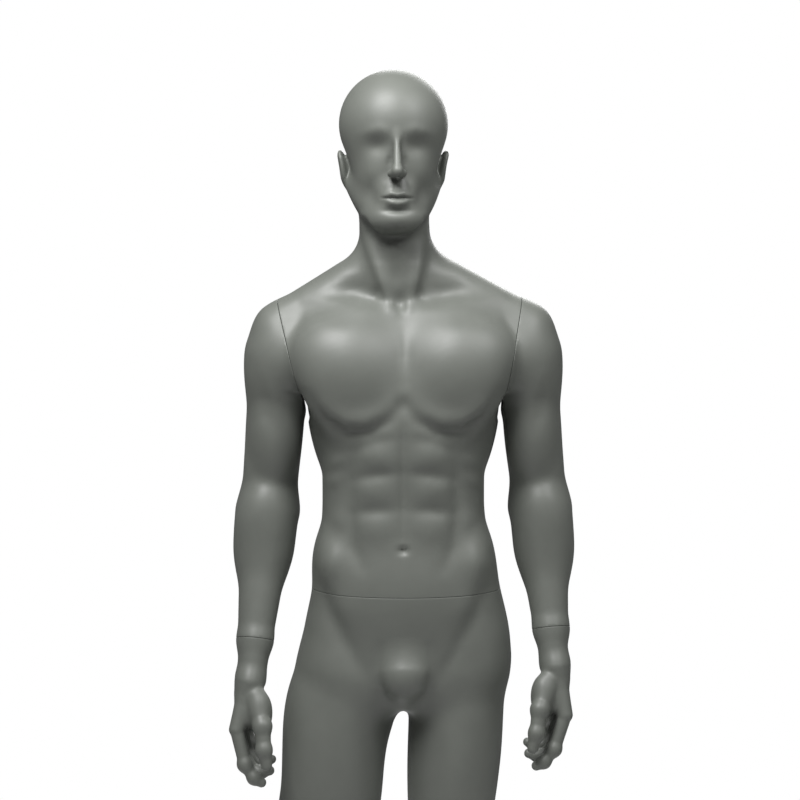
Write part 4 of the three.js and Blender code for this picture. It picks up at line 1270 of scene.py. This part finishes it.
class MANNEQUIN_OT_stage(bpy.types.Operator):
    """Sets up the pale floor, the soft light and the camera"""

    bl_idname = "mannequin.stage"
    bl_label = "Stage"

    def execute(self, context):
        scene = context.scene
        scene.view_settings.view_transform = "Standard"
        world = bpy.data.worlds.new("studio")
        scene.world = world
        world.use_nodes = True
        self.white_room(world.node_tree, ROOM_LIGHT)
        bm = bmesh.new()
        bmesh.ops.create_circle(bm, cap_ends=True, segments=128, radius=FLOOR_RADIUS)
        floor = finished(bm, bpy.data.meshes.new("floor"), "floor", False)
        floor.location.z = -FLOOR_DROP
        paint = Paint("pale_floor", Roughness=0.9)
        cloud = paint.noise(1.5, 2.0)
        paint.use("Base Color", paint.blend(cloud, (0.84, 0.84, 0.84, 1), (0.88, 0.88, 0.88, 1)))
        from_middle = {"Vector": paint.place()}
        out = paint.node("ShaderNodeVectorMath", {"operation": "LENGTH"}, from_middle, output="Value")
        paint.use("Alpha", 1 - paint.ramp(out * (1 / FLOOR_RADIUS), 0.5, 0.98))
        floor.data.materials.append(paint.material)
        for name, at, size, share in SOFT_BOXES:
            self.soft_box(name, at, size, sizes().lamp_power * share)
        camera = bpy.data.cameras.new("camera")
        camera.lens = CAMERA_LENS
        camera.sensor_width = 36
        camera_object = bpy.data.objects.new("camera", camera)
        scene.collection.objects.link(camera_object)
        camera_object.location = CAMERA_AT
        camera_object.rotation_euler = (math.radians(CAMERA_PITCH), 0, 0)
        scene.camera = camera_object
        return {"FINISHED"}

    @staticmethod
    def white_room(tree, strength):
        """White all round, that lights the figure less than it shows."""
        tree.nodes.clear()
        seen, light = (tree.nodes.new("ShaderNodeBackground") for _ in range(2))
        seen.inputs["Color"].default_value = light.inputs["Color"].default_value = (1, 1, 1, 1)
        light.inputs["Strength"].default_value = strength
        path = tree.nodes.new("ShaderNodeLightPath")
        mix = tree.nodes.new("ShaderNodeMixShader")
        output = tree.nodes.new("ShaderNodeOutputWorld")
        tree.links.new(path.outputs["Is Camera Ray"], mix.inputs[0])
        tree.links.new(light.outputs[0], mix.inputs[1])
        tree.links.new(seen.outputs[0], mix.inputs[2])
        tree.links.new(mix.outputs[0], output.inputs["Surface"])

    @staticmethod
    def soft_box(name, at, size, power):
        lamp = bpy.data.lights.new(name, "AREA")
        lamp.energy = power
        lamp.size = size
        lamp_object = bpy.data.objects.new(name, lamp)
        bpy.context.scene.collection.objects.link(lamp_object)
        lamp_object.location = at
        aim = (Vector(CHEST) - Vector(at)).to_track_quat("-Z", "Y")
        lamp_object.rotation_euler = aim.to_euler()


OPERATORS = (
    MANNEQUIN_OT_fittings,
    MANNEQUIN_OT_torso,
    MANNEQUIN_OT_arms,
    MANNEQUIN_OT_hands,
    MANNEQUIN_OT_legs,
    MANNEQUIN_OT_stage,
)


class MANNEQUIN_PT_panel(bpy.types.Panel):
    """Lists the mannequin's settings and pieces"""

    bl_idname = "MANNEQUIN_PT_panel"
    bl_label = "Mannequin"
    bl_space_type = "VIEW_3D"
    bl_region_type = "UI"
    bl_category = "Mannequin"

    def draw(self, context):
        layout = self.layout
        for group in (context.scene.mannequin_finish, context.scene.mannequin_sizes):
            for key in group.bl_rna.properties.keys():
                if key not in ("rna_type", "name"):
                    layout.prop(group, key)
        for operator in OPERATORS:
            layout.operator(operator.bl_idname)


CLASSES = (MannequinFinish, MannequinSizes, *OPERATORS, MANNEQUIN_PT_panel)


def register():
    for cls in CLASSES:
        bpy.utils.register_class(cls)
    bpy.types.Scene.mannequin_finish = PointerProperty(type=MannequinFinish)
    bpy.types.Scene.mannequin_sizes = PointerProperty(type=MannequinSizes)


def unregister():
    del bpy.types.Scene.mannequin_sizes
    del bpy.types.Scene.mannequin_finish
    for cls in reversed(CLASSES):
        bpy.utils.unregister_class(cls)


def main():
    register()
    bpy.ops.mannequin.fittings()
    bpy.ops.mannequin.torso()
    bpy.ops.mannequin.arms()
    bpy.ops.mannequin.hands()
    bpy.ops.mannequin.legs()
    bpy.ops.mannequin.stage()


if __name__ == "__main__":
    main()
